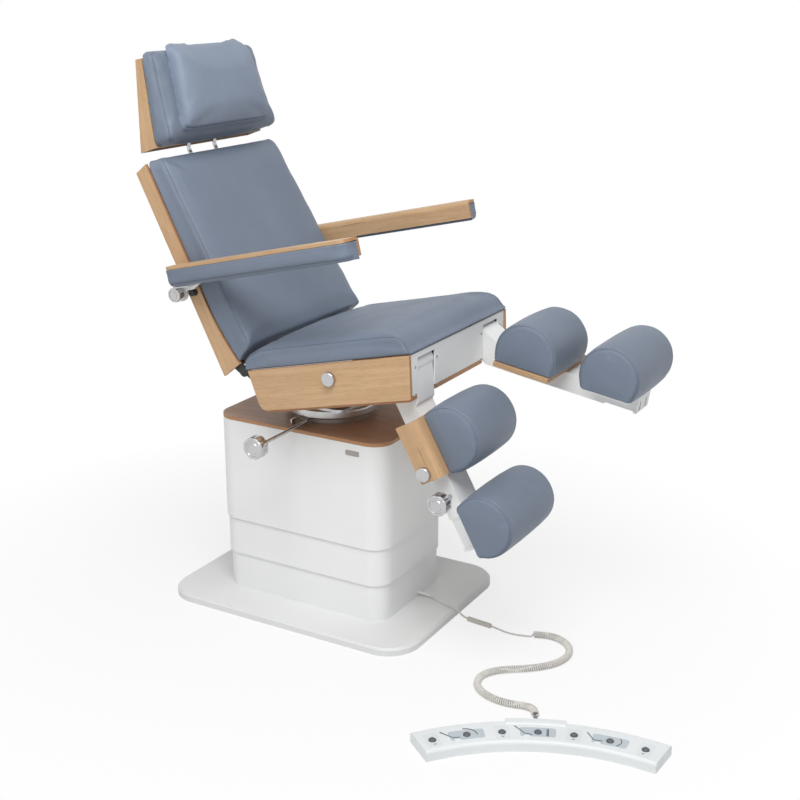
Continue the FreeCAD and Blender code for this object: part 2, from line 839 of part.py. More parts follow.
def seat_bolt_caps():
    s, n = in_frame(seat_cap_x, seat_cap_z, seat_tilt)
    inner = side_plate_inner + frame_plate
    stem = cross_pin(seat_point, s, n, cap_stem, inner, seat_half_width + ply)
    head_low = seat_half_width + seat_gap
    head = cross_pin(seat_point, s, n, cap_radius, head_low, head_low + cap_height)
    rim = [edge for edge in head.Edges if edge.BoundBox.YMin > head_low + cap_height - seat_gap]
    return both_sides(fused([stem, head.makeFillet(cap_round, rim)]))


def seat_bottom_board():
    """Oak bottom board, slotted for the leg arms and notched for the tilt lugs."""
    face = front_plate_x + front_plate_thickness
    sine, cosine = math.sin(math.radians(seat_tilt)), math.cos(math.radians(seat_tilt))
    low_end = (face + seat_board_low * sine) / cosine
    high_end = (face + seat_board_top * sine) / cosine
    half = seat_half_width - ply - seat_gap
    outline = sharp((seat_board_rear, seat_board_low), (low_end, seat_board_low),
                    (high_end, seat_board_top), (seat_board_rear, seat_board_top))
    board = slab(seat_point, outline, -half, half)
    low, high = seat_board_low - overrun, seat_board_top + overrun
    slot = bar(seat_point, board_slot_rear, seat_front, low, high, board_slot_inner, board_slot_outer)
    notch = bar(seat_point, seat_board_rear - overrun, rear_tube_rear + frame_tube, low, high,
                tilt_lug_inner - ply, tilt_lug_inner + frame_plate + ply)
    return [board.cut(both_sides(slot) + both_sides(notch))]


def seat_front_plate():
    """White steel front with two slots, open below, for the leg arms."""
    x_low, x_high = front_plate_x, front_plate_x + front_plate_thickness
    sine, cosine = math.sin(math.radians(seat_tilt)), math.cos(math.radians(seat_tilt))
    z_low = (seat_board_top + x_high * sine) / cosine + seat_gap
    half = seat_half_width - ply - seat_gap
    plate = bar(level, x_low, x_high, z_low, front_plate_top, -half, half)
    slot = bar(level, x_low - overrun, x_high + overrun, z_low - overrun, slot_top, slot_inner, slot_outer)
    return [plate.cut(both_sides(slot))]


def seat_frame():
    """Welded frame in the seat: side plates, cross tubes, leg plates and lugs."""
    y_low, y_high = side_plate_inner, side_plate_inner + frame_plate
    tube_low = seat_board_top + seat_gap
    tube_high = tube_low + frame_tube
    body = slab(seat_point, sharp((recline_s, recline_n), (leg_s, leg_n + leg_plate_boss),
                                  (leg_s, leg_n - leg_plate_boss), (front_tube_rear + frame_tube, tube_low),
                                  (rear_tube_rear, tube_low), (recline_s, recline_n - recline_boss)),
                y_low, y_high)
    side = [body, cross_pin(seat_point, recline_s, recline_n, recline_boss, y_low, y_high),
            cross_pin(seat_point, leg_s, leg_n, leg_plate_boss, y_low, y_high)]
    lower_y, upper_y = leg_plate_inner, leg_plate_inner + leg_plate_thickness
    leg_plate = slab(seat_point, sharp((leg_s, leg_n + leg_plate_boss), (leg_s, leg_n - leg_plate_boss),
                                       (front_tube_rear + frame_tube, tube_low), (front_tube_rear, tube_low),
                                       (front_tube_rear, tube_high)), lower_y, upper_y)
    leg_side = [leg_plate, cross_pin(seat_point, leg_s, leg_n, leg_plate_boss, lower_y, upper_y)]
    lug_low, lug_high = tilt_lug_inner, tilt_lug_inner + frame_plate
    lug = slab(seat_point, sharp((tilt_s, tilt_n + tilt_boss), (rear_tube_rear, tube_high),
                                 (rear_tube_rear + frame_tube, tube_high),
                                 (rear_tube_rear + frame_tube, tube_low), (tilt_s, tilt_n - tilt_boss)),
               lug_low, lug_high)
    lug_side = [lug, cross_pin(seat_point, tilt_s, tilt_n, tilt_boss, lug_low, lug_high)]
    half = y_high
    tubes = [bar(seat_point, start, start + frame_tube, tube_low, tube_high, -half, half)
             for start in (rear_tube_rear, front_tube_rear)]
    parts = list(tubes)
    for piece in side + leg_side + lug_side:
        parts += both_sides(piece)
    pin = cross_pin(seat_point, recline_s, recline_n, pin_radius, y_low, recline_lug_inner + frame_plate)
    shaft = cross_pin(seat_point, leg_s, leg_n, leg_shaft_radius, lower_y, y_high)
    frame = fused(parts + both_sides(pin) + both_sides(shaft))
    wall, reach = frame_tube_wall, half + overrun
    bores = [bar(seat_point, start + wall, start + frame_tube - wall, tube_low + wall, tube_high - wall,
                 -reach, reach) for start in (rear_tube_rear, front_tube_rear)]
    bores.append(cross_pin(seat_point, tilt_s, tilt_n, pin_radius + running_gap, -reach, reach))
    return [frame.cut(bores)]


def seat_cushion():
    """Crowned cushion with a rolled front edge and a rear that leans with the backrest."""
    low = seat_panel_top + seat_gap
    high = low + seat_cushion_height
    half = seat_half_width - cushion_inset
    span = seat_cushion_front - seat_cushion_rear
    sections = []
    for share, lean_share, height_share, crown_share, waist_share in seat_section_shares:
        base = seat_cushion_rear + share * span
        peak = base + lean_share * seat_cushion_lean
        width = half - waist_share * cushion_waist
        sections.append(cushion_section(seat_point, (base, low), (peak, low + height_share * (high - low)),
                                        half, width, crown_share * seat_cushion_crown))
    return [Part.makeLoft(sections, True, False)]


def back_outline(offset):
    """Flared front edge of the backrest's side board, shifted by the offset."""
    return [(back_front + offset, back_top_front, 0),
            (back_front + offset, back_flare_start, back_flare_radius),
            (back_front + back_flare + offset, back_low_front, 0)]


def flare_at(b):
    """How far the backrest's front edge flares at a height."""
    straight_end = back_flare_start + (back_flare_start - back_low_front)
    if b >= straight_end:
        return 0
    share = (straight_end - b) / (straight_end - back_low_front)
    return back_flare * share * share


def backrest_side_panels():
    corners = [(back_rear, back_low, 0), (back_rear, back_top, 0)] + back_outline(0)
    panel = slab(back_point, corners, back_half_width - ply, back_half_width)
    stop_f, stop_b = in_frame(stop_x, stop_z, back_lean)
    hole = cross_pin(back_point, stop_f, stop_b, stop_radius + running_gap, stop_inner - ply, stop_end + ply)
    return both_sides(panel.cut(hole))


def backrest_rear_panel():
    low = back_rear + back_panel_inset
    half = back_half_width - ply - seat_gap
    return [bar(back_point, low, low + back_panel_thickness, back_low + ply, back_top - seat_gap, -half, half)]


def backrest_frame():
    """Steel frame with recline lugs, rod guides, the armrests' cross tube and stops."""
    f_low, f_high = back_frame_front - back_frame_depth, back_frame_front
    half = recline_lug_inner + frame_plate
    parts = [bar(back_point, f_low, f_high, start, start + frame_tube, -width, width)
             for start, width in ((back_frame_low, half), (back_frame_high, back_upright_inner + frame_tube))]
    upright_piece = bar(back_point, f_low, f_high, back_frame_low, back_frame_high,
                        back_upright_inner, back_upright_inner + frame_tube)
    y_low, y_high = recline_lug_inner, half
    lug = slab(back_point, sharp((recline_f + recline_boss, recline_b), (f_high, back_frame_low + frame_tube),
                                 (f_low, back_frame_low + frame_tube), (f_low, back_frame_low),
                                 (recline_f - recline_boss, recline_b)), y_low, y_high)
    boss = cross_pin(back_point, recline_f, recline_b, recline_boss, y_low, y_high)
    guide = Part.makeCylinder(rod_guide_radius, back_top - rod_guide_low,
                              back_point(rod_front, rod_guide_low, rod_spacing_half),
                              back_point(0, 1, 0))
    guide_foot = bar(back_point, f_low, f_high, rod_guide_low, rod_guide_low + frame_tube,
                     -rod_spacing_half, back_upright_inner)
    for piece in (upright_piece, lug, boss, guide, guide_foot):
        parts += both_sides(piece)
    frame = fused(parts)
    bores = [cross_pin(back_point, recline_f, recline_b, pin_radius + running_gap, -half, half)]
    for side in (-1, 1):
        bores.append(Part.makeCylinder(rod_radius + running_gap, back_top - rod_low + 2 * overrun,
                                       back_point(rod_front, rod_low - overrun, side * rod_spacing_half),
                                       back_point(0, 1, 0)))
    panel_rear = back_rear + back_panel_inset - seat_gap
    tube = cross_pin(back_point, arm_f, arm_b, arm_tube_radius, -arm_tube_half, arm_tube_half)
    stub = cross_pin(back_point, arm_f, arm_b, arm_stub_radius, arm_tube_half, arm_stub_end)
    saddle = bar(back_point, arm_f - arm_tube_radius - seat_gap, panel_rear,
                 arm_b - arm_saddle_half, arm_b + arm_saddle_half,
                 arm_saddle_inner, arm_saddle_inner + arm_saddle_width)
    axle = fused([tube] + both_sides(stub) + both_sides(saddle))
    stop_f, stop_b = in_frame(stop_x, stop_z, back_lean)
    stop = cross_pin(back_point, stop_f, stop_b, stop_radius, stop_inner, stop_end)
    return [frame.cut(bores), axle] + both_sides(stop)


def backrest_cushion():
    """Crowned cushion that flares forward at the lumbar end."""
    half = back_half_width - cushion_inset
    sections = []
    for share, lean_share, height_share, crown_share, waist_share in back_section_shares:
        base = back_low_front + share * (back_cushion_top - back_low_front)
        peak = base + lean_share * back_cushion_lean
        low = back_front + flare_at(base) + soft_gap
        high = back_front + flare_at(base) + height_share * back_cushion_height
        width = half - waist_share * cushion_waist
        sections.append(cushion_section(back_point, (low, base), (high, peak), half, width,
                                        crown_share * back_cushion_crown))
    return [Part.makeLoft(sections, True, False)]


def head_taper(y_inset, x_low, x_high):
    """Front-view wedge that narrows the headrest towards its top."""
    low, high = head_half_low - y_inset, head_half_high - y_inset
    z_low, z_high = head_rear_low_z, head_board_high_z
    slope = (high - low) / (z_high - z_low)
    z_a, z_b = z_low - 2 * overrun, z_high + 2 * overrun
    half_a, half_b = low + slope * (z_a - z_low), low + slope * (z_b - z_low)
    spots = [Vector(x_low, -half_a, z_a), Vector(x_low, half_a, z_a),
             Vector(x_low, half_b, z_b), Vector(x_low, -half_b, z_b)]
    face = Part.Face(Part.makePolygon(spots + spots[:1]))
    return face.extrude(Vector(x_high - x_low, 0, 0))


def headrest_shell():
    """Wedge-shaped plywood shell, open below for the rods."""
    outline = sharp((head_rear_low_x, head_rear_low_z), (head_board_low_x, head_board_low_z),
                    (head_board_high_x, head_board_high_z), (head_rear_high_x, head_rear_high_z))
    block = slab(level, outline, -head_half_low, head_half_low)
    x_low, x_high = head_rear_high_x - overrun, head_board_low_x + overrun
    shell = block.common(head_taper(0, x_low, x_high))
    wall = head_wall
    down = (head_board_high_x - head_board_low_x) / (head_board_high_z - head_board_low_z)
    inner = sharp((head_rear_low_x + wall, head_rear_low_z - overrun),
                  (head_board_low_x - wall - down * overrun, head_rear_low_z - overrun),
                  (head_board_high_x - wall - down * wall, head_rear_high_z - wall),
                  (head_rear_high_x + wall, head_rear_high_z - wall))
    hollow = slab(level, inner, -head_half_low, head_half_low).common(head_taper(wall, x_low, x_high))
    return [shell.cut(hollow)]


def headrest_cushion():
    sections = []
    for share, height_share, crown_share, waist_share in head_section_shares:
        low_x = head_board_low_x + share * (head_board_high_x - head_board_low_x) + seat_gap
        low_z = head_board_low_z + share * (head_board_high_z - head_board_low_z)
        high_x = head_cushion_low_x + share * (head_cushion_high_x - head_cushion_low_x)
        high_z = head_cushion_low_z + share * (head_cushion_high_z - head_cushion_low_z)
        half = head_half_low + share * (head_half_high - head_half_low)
        width = half - waist_share * cushion_waist
        high_x = low_x + height_share * (high_x - low_x)
        high_z = low_z + height_share * (high_z - low_z)
        sections.append(cushion_section(level, (low_x, low_z), (high_x, high_z), half, width,
                                        crown_share * head_cushion_crown))
    return [Part.makeLoft(sections, True, False)]


def head_face_x(z):
    """Front of the headrest cushion's crown at a height."""
    slope = (head_cushion_high_x - head_cushion_low_x) / (head_cushion_high_z - head_cushion_low_z)
    return head_cushion_low_x + slope * (z - head_cushion_low_z) + head_cushion_crown + 2 * soft_gap


def headrest_pillow():
    """Neck pillow: thick below, saddle-shaped along its top."""
    sections = []
    for y_share, thick_share, saddle_share in pillow_section_shares:
        y = y_share * pillow_half_width
        top_z = pillow_top_z - saddle_share * pillow_saddle
        rear_low = Vector(head_face_x(pillow_low_z), y, pillow_low_z)
        rear_high = Vector(head_face_x(top_z), y, top_z)
        neck = Vector(head_face_x(pillow_neck_z), y, pillow_neck_z)
        neck.x += thick_share * (pillow_neck_x - neck.x)
        high = Vector(head_face_x(pillow_high_z), y, pillow_high_z)
        high.x += thick_share * (pillow_high_x - high.x)
        low_mid = (rear_low + neck) / 2 + Vector(pillow_belly, 0, -pillow_belly)
        high_mid = (neck + high) / 2 + Vector(pillow_belly / 2, 0, 0)
        top_mid = (high + rear_high) / 2 + Vector(pillow_belly / 2, 0, pillow_belly / 2)
        sections.append(Part.Wire([
            Part.Arc(rear_low, low_mid, neck).toShape(),
            Part.Arc(neck, high_mid, high).toShape(),
            Part.Arc(high, top_mid, rear_high).toShape(),
            Part.LineSegment(rear_high, rear_low).toShape(),
        ]))
    return [Part.makeLoft(sections, True, False)]


def headrest_rods():
    """Two bent rods with the flat bars that hold them to the shell."""
    rods = []
    lean = math.radians(back_lean)
    x_bend = back_point(rod_front, 0, 0).x
    bend_b = (rod_bend_z - rod_front * math.sin(lean)) / math.cos(lean)
    bend = back_point(rod_front, bend_b, 0)
    rise = Vector(head_rear_high_x - head_rear_low_x, 0, head_rear_high_z - head_rear_low_z).normalize()
    top = bend + rise * (rod_top_z - rod_bend_z)
    start = back_point(rod_front, rod_low, 0)
    for side in (-1, 1):
        shift = Vector(0, side * rod_spacing_half, 0)
        rods.append(bent_rod(start + shift, bend + shift, top + shift))
    for share in rod_bar_shares:
        spot = bend + rise * (share * (rod_top_z - rod_bend_z))
        rear = spot.x - rod_radius - rod_bar_thickness + rod_bar_overlap
        strap = Part.makeBox(rod_bar_thickness, 2 * (rod_spacing_half + rod_bar_height), rod_bar_height,
                             Vector(rear, -rod_spacing_half - rod_bar_height, spot.z))
        rods.append(strap)
    return [fused(rods)]


def bent_rod(start, bend, top):
    """Round rod with one bend."""
    back, ahead = (start - bend).normalize(), (top - bend).normalize()
    half = back.getAngle(ahead) / 2
    reach = rod_bend_radius / math.tan(half)
    bisector = (back + ahead).normalize()
    first, last = bend + back * reach, bend + ahead * reach
    middle = bend + bisector * (rod_bend_radius / math.sin(half) - rod_bend_radius)
    path = Part.Wire([Part.LineSegment(start, first).toShape(), Part.Arc(first, middle, last).toShape(),
                      Part.LineSegment(last, top).toShape()])
    circle = Part.Wire([Part.makeCircle(rod_radius, start, bend - start)])
    return path.makePipeShell([circle], True, False)


def arm_plan(y_outer, front, corner, low, high):
    """Plan outline of an armrest with rounded outer corners, as a prism."""
    wire = rounded_wire(lambda u, v: arm_point(u, low, v),
                        [(arm_rear, arm_inner, 0), (front, arm_inner, 0),
                         (front, y_outer, corner), (arm_rear, y_outer, corner)])
    return Part.Face(wire).extrude(arm_point(0, high - low, 0))


def armrest_wood():
    """Bentwood angle: top board and inner board in one bend."""
    y_outer = arm_inner + arm_wood_width
    corners = [(arm_inner, arm_top, arm_bend_radius), (y_outer, arm_top, 0), (y_outer, arm_top - arm_wood, 0),
               (arm_inner + arm_wood, arm_top - arm_wood, arm_bend_radius - arm_wood),
               (arm_inner + arm_wood, arm_top - arm_wood_height, 0), (arm_inner, arm_top - arm_wood_height, 0)]
    wire = rounded_wire(lambda u, v: arm_point(arm_rear, v, u), corners)
    angle = Part.Face(wire).extrude(arm_point(arm_front - arm_rear, 0, 0))
    return [angle.common(arm_plan(y_outer, arm_front, arm_corner, arm_top - arm_pad_drop, arm_top + overrun))]


def armrest_pad():
    """Upholstered block under the bentwood, rounded at its ends and lower edge."""
    y_low = arm_inner + arm_wood + soft_gap
    low, high = arm_top - arm_pad_drop, arm_top - arm_wood - soft_gap
    corners = [(y_low, high, arm_pad_bend), (arm_pad_outer, high, 0), (arm_pad_outer, low, arm_pad_round), (y_low, low, 0)]
    wire = rounded_wire(lambda u, v: arm_point(arm_rear, v, u), corners)
    pad = Part.Face(wire).extrude(arm_point(arm_front - arm_rear, 0, 0))
    return [pad.common(arm_plan(arm_pad_outer, arm_front, arm_corner, low - overrun, arm_top))]


def arm_bracket():
    """White plate that hangs the armrest on its pivot and rests on the stop."""
    y_low, y_high = arm_bracket_inner, arm_bracket_inner + arm_bracket_thickness
    high = arm_top - arm_pad_drop - seat_gap
    rear = arm_s - arm_bracket_radius
    stop_s, stop_n = in_frame(stop_x, stop_z, arm_tilt)
    rest = stop_n + stop_radius + seat_gap
    plate = slab(arm_point, sharp((rear, high), (arm_bracket_front, high),
                                  (arm_bracket_front, high - arm_bracket_tip),
                                  (stop_s + stop_radius, rest), (stop_s - stop_radius, rest),
                                  (arm_s, arm_n - arm_bracket_radius * arm_bracket_share), (rear, arm_n)),
                 y_low, y_high)
    boss = cross_pin(arm_point, arm_s, arm_n, arm_bracket_radius, y_low, y_high)
    flange = bar(arm_point, arm_rear + ply, arm_bracket_front, high - arm_flange, high,
                 y_low, y_low + arm_flange_width)
    bracket = fused([plate, boss, flange])
    stop = cross_pin(arm_point, stop_s, stop_n, stop_radius + seat_gap, y_low - ply, y_high + ply)
    bore = cross_pin(arm_point, arm_s, arm_n, arm_stub_radius + running_gap, y_low - ply, y_high + ply)
    return [bracket.cut([bore, stop])]


def arm_knob():
    start = arm_bracket_inner + arm_bracket_thickness + running_gap
    knob = star_knob(arm_knob_radius, start, start + arm_knob_depth)
    bore = Part.makeCylinder(arm_stub_radius + running_gap, arm_stub_end + running_gap,
                             Vector(0, 0, 0), Vector(0, 1, 0))
    knob = knob.cut(bore)
    knob.translate(Vector(arm_axis_x, 0, arm_axis_z))
    return [knob]


def leg_arm(point):
    """Hinged arm: round root in the seat, gusset, and a hollow outer tube."""
    y_low, y_high = leg_arm_inner, leg_arm_inner + leg_arm_width
    body = slab(point, sharp((0, leg_boss), (leg_tube_start, leg_root_high), (leg_tube_step, leg_tube_high),
                             (leg_tube_end, leg_tube_high), (leg_tube_end, leg_tube_low),
                             (leg_root_low, leg_tube_low),
                             (-leg_boss * root_sine_share, -leg_boss * root_cosine_share)), y_low, y_high)
    arm = fused([body, cross_pin(point, 0, 0, leg_boss, y_low, y_high)])
    hollow = bar(point, leg_bore_start, leg_tube_end + overrun, leg_tube_low + leg_tube_wall,
                 leg_tube_high - leg_tube_wall, y_low + leg_tube_wall, y_high - leg_tube_wall)
    bore = cross_pin(point, 0, 0, leg_shaft_radius + running_gap, y_low - overrun, y_high + overrun)
    screw = cross_pin(point, leg_knob_along, leg_knob_across, leg_screw_radius + running_gap,
                      y_high - ply, y_high + overrun)
    return [arm.cut([hollow, bore, screw])]


def leg_board(point):
    """Bent oak board that carries the calf pad, with its outer flange and spacers."""
    high, low = leg_board_high, leg_board_high - leg_board_thickness
    inner_bend = leg_bend_radius - leg_flange_thickness
    corners = [(leg_board_inner, high, 0), (leg_flange_outer, high, leg_bend_radius),
               (leg_flange_outer, leg_flange_low, 0),
               (leg_flange_outer - leg_flange_thickness, leg_flange_low, 0),
               (leg_flange_outer - leg_flange_thickness, low, inner_bend), (leg_board_inner, low, 0)]
    wire = rounded_wire(lambda u, v: point(leg_board_rear, v, u), corners)
    board = Part.Face(wire).extrude(point(leg_board_front, 0, 0) - point(leg_board_rear, 0, 0))
    hole = cross_pin(point, leg_cap_along, leg_cap_across, cap_stem + running_gap,
                     leg_flange_outer - overrun / 2, leg_flange_outer + ply)
    gap_low, gap_high = leg_tube_high + seat_gap, low
    spacer = bar(point, leg_board_rear, leg_board_front, gap_low, gap_high,
                 leg_arm_inner, leg_arm_inner + leg_arm_width)
    return [fused([board.cut(hole), spacer])]


def leg_cap(point):
    inner = leg_arm_inner + leg_arm_width + seat_gap
    head_low = leg_flange_outer + seat_gap
    stem = cross_pin(point, leg_cap_along, leg_cap_across, cap_stem, inner, head_low + ply)
    head = cross_pin(point, leg_cap_along, leg_cap_across, cap_radius, head_low, head_low + cap_height)
    rim = [edge for edge in head.Edges if edge.BoundBox.YMin > head_low + cap_height - seat_gap]
    return [fused([stem, head.makeFillet(cap_round, rim)])]


def round_pad(point, centre, radius, rise, inner, outer, base):
    """Half-round pad across the leg with drawn-in ends."""
    sections = []
    for y_share, draw_share in pad_section_shares:
        y = inner + y_share * (outer - inner)
        size = radius - draw_share * pad_end_draw
        reach = math.sqrt(size * size - rise * rise)
        rear, front = point(centre - reach, base, y), point(centre + reach, base, y)
        top = point(centre, base + rise + size, y)
        slant = size * math.cos(math.radians(pad_arc_angle))
        lift = size * math.sin(math.radians(pad_arc_angle))
        sections.append(Part.Wire([
            Part.LineSegment(front, rear).toShape(),
            Part.Arc(rear, point(centre - slant, base + rise + lift, y), top).toShape(),
            Part.Arc(top, point(centre + slant, base + rise + lift, y), front).toShape(),
        ]))
    return Part.makeLoft(sections, True, False)


def calf_pad(point):
    return [round_pad(point, calf_pad_centre, calf_pad_radius, calf_pad_rise,
                      calf_pad_inner, calf_pad_outer, leg_board_high + seat_gap)]


def foot_pad(point):
    return [round_pad(point, foot_pad_centre, foot_pad_radius, foot_pad_rise,
                      foot_pad_inner, foot_pad_outer, leg_board_high)]


def leg_slide(point):
    """Sliding bar with the foot pad's plate and the slotted end plate."""
    side = leg_tube_wall + slide_gap
    y_low, y_high = leg_arm_inner + side, leg_arm_inner + leg_arm_width - side
    low, high = leg_tube_low + side, leg_tube_high - side
    inner_bar = bar(point, slide_start, slide_end, low, high, y_low, y_high)
    plate_top = leg_board_high - seat_gap
    plate_low = plate_top - slide_plate_thickness
    riser = bar(point, slide_riser_start, slide_riser_end, low, plate_top, y_low, y_high)
    plate = bar(point, slide_plate_rear, slide_plate_front, plate_low, plate_top,
                slide_plate_inner, slide_plate_outer)
    end = bar(point, slide_end, slide_end_plate, leg_tube_low, plate_low,
              leg_arm_inner, leg_arm_inner + leg_arm_width)
    middle = leg_arm_inner + leg_arm_width / 2
    slots = []
    for shift in (-slide_slot_offset, slide_slot_offset):
        slots.append(bar(point, slide_end - leg_tube_wall, slide_end_plate + overrun,
                         leg_tube_low + side, leg_tube_low + side + slide_slot_height,
                         middle + shift - slide_slot_width / 2, middle + shift + slide_slot_width / 2))
    wall = leg_tube_wall
    hollow = bar(point, slide_start - overrun, slide_end - wall, low + wall, high - wall,
                 y_low + wall, y_high - wall)
    return [fused([inner_bar, riser, plate, end]).cut([hollow] + slots)]


def leg_knob(point):
    """Clamping screw and star knob of the sliding bar."""
    start = leg_arm_inner + leg_arm_width - leg_tube_wall
    knob = star_knob(leg_knob_radius, leg_knob_start, leg_knob_face)
    screw = Part.makeCylinder(leg_screw_radius, leg_knob_start - start, Vector(0, start, 0), Vector(0, 1, 0))
    knob = fused([knob, screw])
    knob.translate(point(leg_knob_along, leg_knob_across, 0))
    return [knob]


def pedal_spot(radius, angle, z):
    """Point on the foot control's arc."""
    turn_angle = math.radians(angle)
    return Vector(pedal_centre_x + radius * math.cos(turn_angle),
                  pedal_centre_y + radius * math.sin(turn_angle), z)


def foot_control_housing():
    """Arc-shaped housing on the floor with pockets for its buttons."""
    centre = Vector(pedal_centre_x, pedal_centre_y, 0)
    soft = pedal_round
    slab_ring = ring_solid([(pedal_inner, 0, 0), (pedal_outer, 0, 0), (pedal_outer, pedal_height, soft),
                            (pedal_inner, pedal_height, soft)], centre,
                           pedal_first_angle, pedal_last_angle - pedal_first_angle)
    hump = ring_solid([(pedal_housing_inner, 0, 0), (pedal_housing_outer, 0, 0),
                       (pedal_housing_outer, pedal_housing_height, soft),
                       (pedal_housing_inner, pedal_housing_height, soft)], centre,
                      pedal_housing_first_angle, pedal_housing_last_angle - pedal_housing_first_angle)
    housing = fused([slab_ring, hump])
    pockets = [Part.makeCylinder(button_radius + button_gap, pedal_height,
                                 pedal_spot(button_ring, angle, pedal_height - button_pocket))
               for angle in button_angles()]
    return [housing.cut(pockets)]


def button_angles():
    return [button_first_angle - index * button_step_angle for index in range(button_count)]


def foot_button(angle):
    """Domed push button."""
    low = pedal_height - button_sink
    stem = ring_solid([(0, 0, 0), (button_radius, 0, 0), (button_radius, button_height - button_dome, 0),
                       (button_radius * button_dome_share, button_height, 0), (0, button_height, 0)],
                      Vector(0, 0, 0), 0, turn)
    stem.translate(pedal_spot(button_ring, angle, low))
    return [stem]


def cable_outlets():
    """Cord gland at the foot of the lower cover and the mains inlet behind."""
    x, y, z = cord_route[0]
    cover_face = cover_length / 2 - 2 * cover_step
    gland = Part.makeCone(gland_radius, gland_radius * gland_tip_share, x - cover_face,
                          Vector(cover_face, y, z), Vector(1, 0, 0))
    return [gland, inlet_block()]


def cord_connector():
    """Inline plug connection round the thin cord."""
    first, last = Vector(*cord_route[6]), Vector(*cord_route[7])
    along = (last - first).normalize()
    start = first - along * connector_reach
    length = (last - first).Length + 2 * connector_reach
    body = Part.makeCylinder(connector_radius, length, start, along)
    ends = [edge for edge in body.Edges if edge.Curve.TypeId == "Part::GeomCircle"]
    body = body.makeChamfer(connector_radius * relief_tip_share / 2, ends)
    bore = Part.makeCylinder(cord_radius + connector_bore_gap, length, start, along)
    return [body.cut(bore)]


def cord_strain_relief():
    start = pedal_spot(pedal_housing_outer, relief_angle, relief_height)
    end = curl_end()
    return [Part.makeCone(relief_radius, relief_radius * relief_tip_share, relief_length, start, end - start)]


def curl_end():
    """Where the curly cord meets the strain relief."""
    return pedal_spot(pedal_housing_outer + relief_length, relief_angle, relief_height)


def pedal_cord():
    edges, tightest = route_edges(cord_route)
    return [round_tube(edges, tightest, cord_radius, "pedal_cord")]


def curly_cord():
    """Curly cord as one unbroken wire."""
    edges, tightest = curls(curl_route + [tuple(curl_end())])
    print("curly_cord least gap to itself", round(gap_to_itself(edges, curl_wire_radius), 2))
    return [round_tube(edges, tightest, curl_wire_radius, "curly_cord")]


def write_node(name, solids):
    """Write one node: a single solid, or a group of solids."""
    shape = solids[0] if len(solids) == 1 else Part.makeCompound(solids)
    for solid in solids:
        if not solid.isValid() or solid.Volume <= 0:
            print("check", name, solid.ShapeType, solid.Volume)
    shape.exportStep("parts/" + name + ".step")


def main():
    os.makedirs("parts", exist_ok=True)
    nodes = {
        "base_plate": base_plate(),
        "lower_cover": lower_cover(),
        "middle_cover": [cover(1, middle_cover_low, middle_cover_top)],
        "outer_cover": [cover(0, outer_cover_low, outer_cover_top)],
        "lift_column_base": lift_column_base(),
        "lift_column_middle": lift_column_middle(),
        "lift_column_top": lift_column_top(),
        "pedestal_top_board": pedestal_top_board(),
        "swivel_base": swivel_base(),
        "swivel_lock": swivel_lock(),
        "turntable": turntable(),
        "seat_side_panels": seat_side_panels(),
        "seat_bolt_caps": seat_bolt_caps(),
        "seat_bottom_board": seat_bottom_board(),
        "seat_front_plate": seat_front_plate(),
        "seat_frame": seat_frame(),
        "seat_cushion": seat_cushion(),
        "backrest_side_panels": backrest_side_panels(),
        "backrest_rear_panel": backrest_rear_panel(),
        "backrest_frame": backrest_frame(),
        "backrest_cushion": backrest_cushion(),
        "headrest_shell": headrest_shell(),
        "headrest_cushion": headrest_cushion(),
        "headrest_pillow": headrest_pillow(),
        "headrest_rods": headrest_rods(),
        "cable_outlets": cable_outlets(),
        "pedal_cord": pedal_cord(),
        "curly_cord": curly_cord(),
        "cord_connector": cord_connector(),
        "cord_strain_relief": cord_strain_relief(),
        "foot_control_housing": foot_control_housing(),
    }
    for index, angle in enumerate(button_angles()):
        nodes["foot_button_" + str(index + 1)] = foot_button(angle)
    for name, side, angle in (("right", -1, leg_angle_right), ("left", 1, leg_angle_left)):
        point = tilted(leg_axis_x, leg_axis_z, -angle)
        nodes["armrest_wood_" + name] = on_side(armrest_wood(), side)
        nodes["armrest_pad_" + name] = on_side(armrest_pad(), side)
        nodes["arm_bracket_" + name] = on_side(arm_bracket(), side)
        nodes["arm_knob_" + name] = on_side(arm_knob(), side)
        nodes["leg_arm_" + name] = on_side(leg_arm(point), side)
        nodes["leg_board_" + name] = on_side(leg_board(point), side)
        nodes["leg_cap_" + name] = on_side(leg_cap(point), side)
        nodes["calf_pad_" + name] = on_side(calf_pad(point), side)
        nodes["foot_pad_" + name] = on_side(foot_pad(point), side)
        nodes["leg_slide_" + name] = on_side(leg_slide(point), side)
        nodes["leg_knob_" + name] = on_side(leg_knob(point), side)
    for name, solids in nodes.items():
        write_node(name, solids)
    print(len(nodes), "nodes")


main()
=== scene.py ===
import json
import math

import bmesh
import bpy
import numpy as np
from bpy.props import FloatProperty, FloatVectorProperty, IntProperty, PointerProperty
from mathutils import Matrix, Vector, noise
from mathutils.bvhtree import BVHTree
from mathutils.kdtree import KDTree

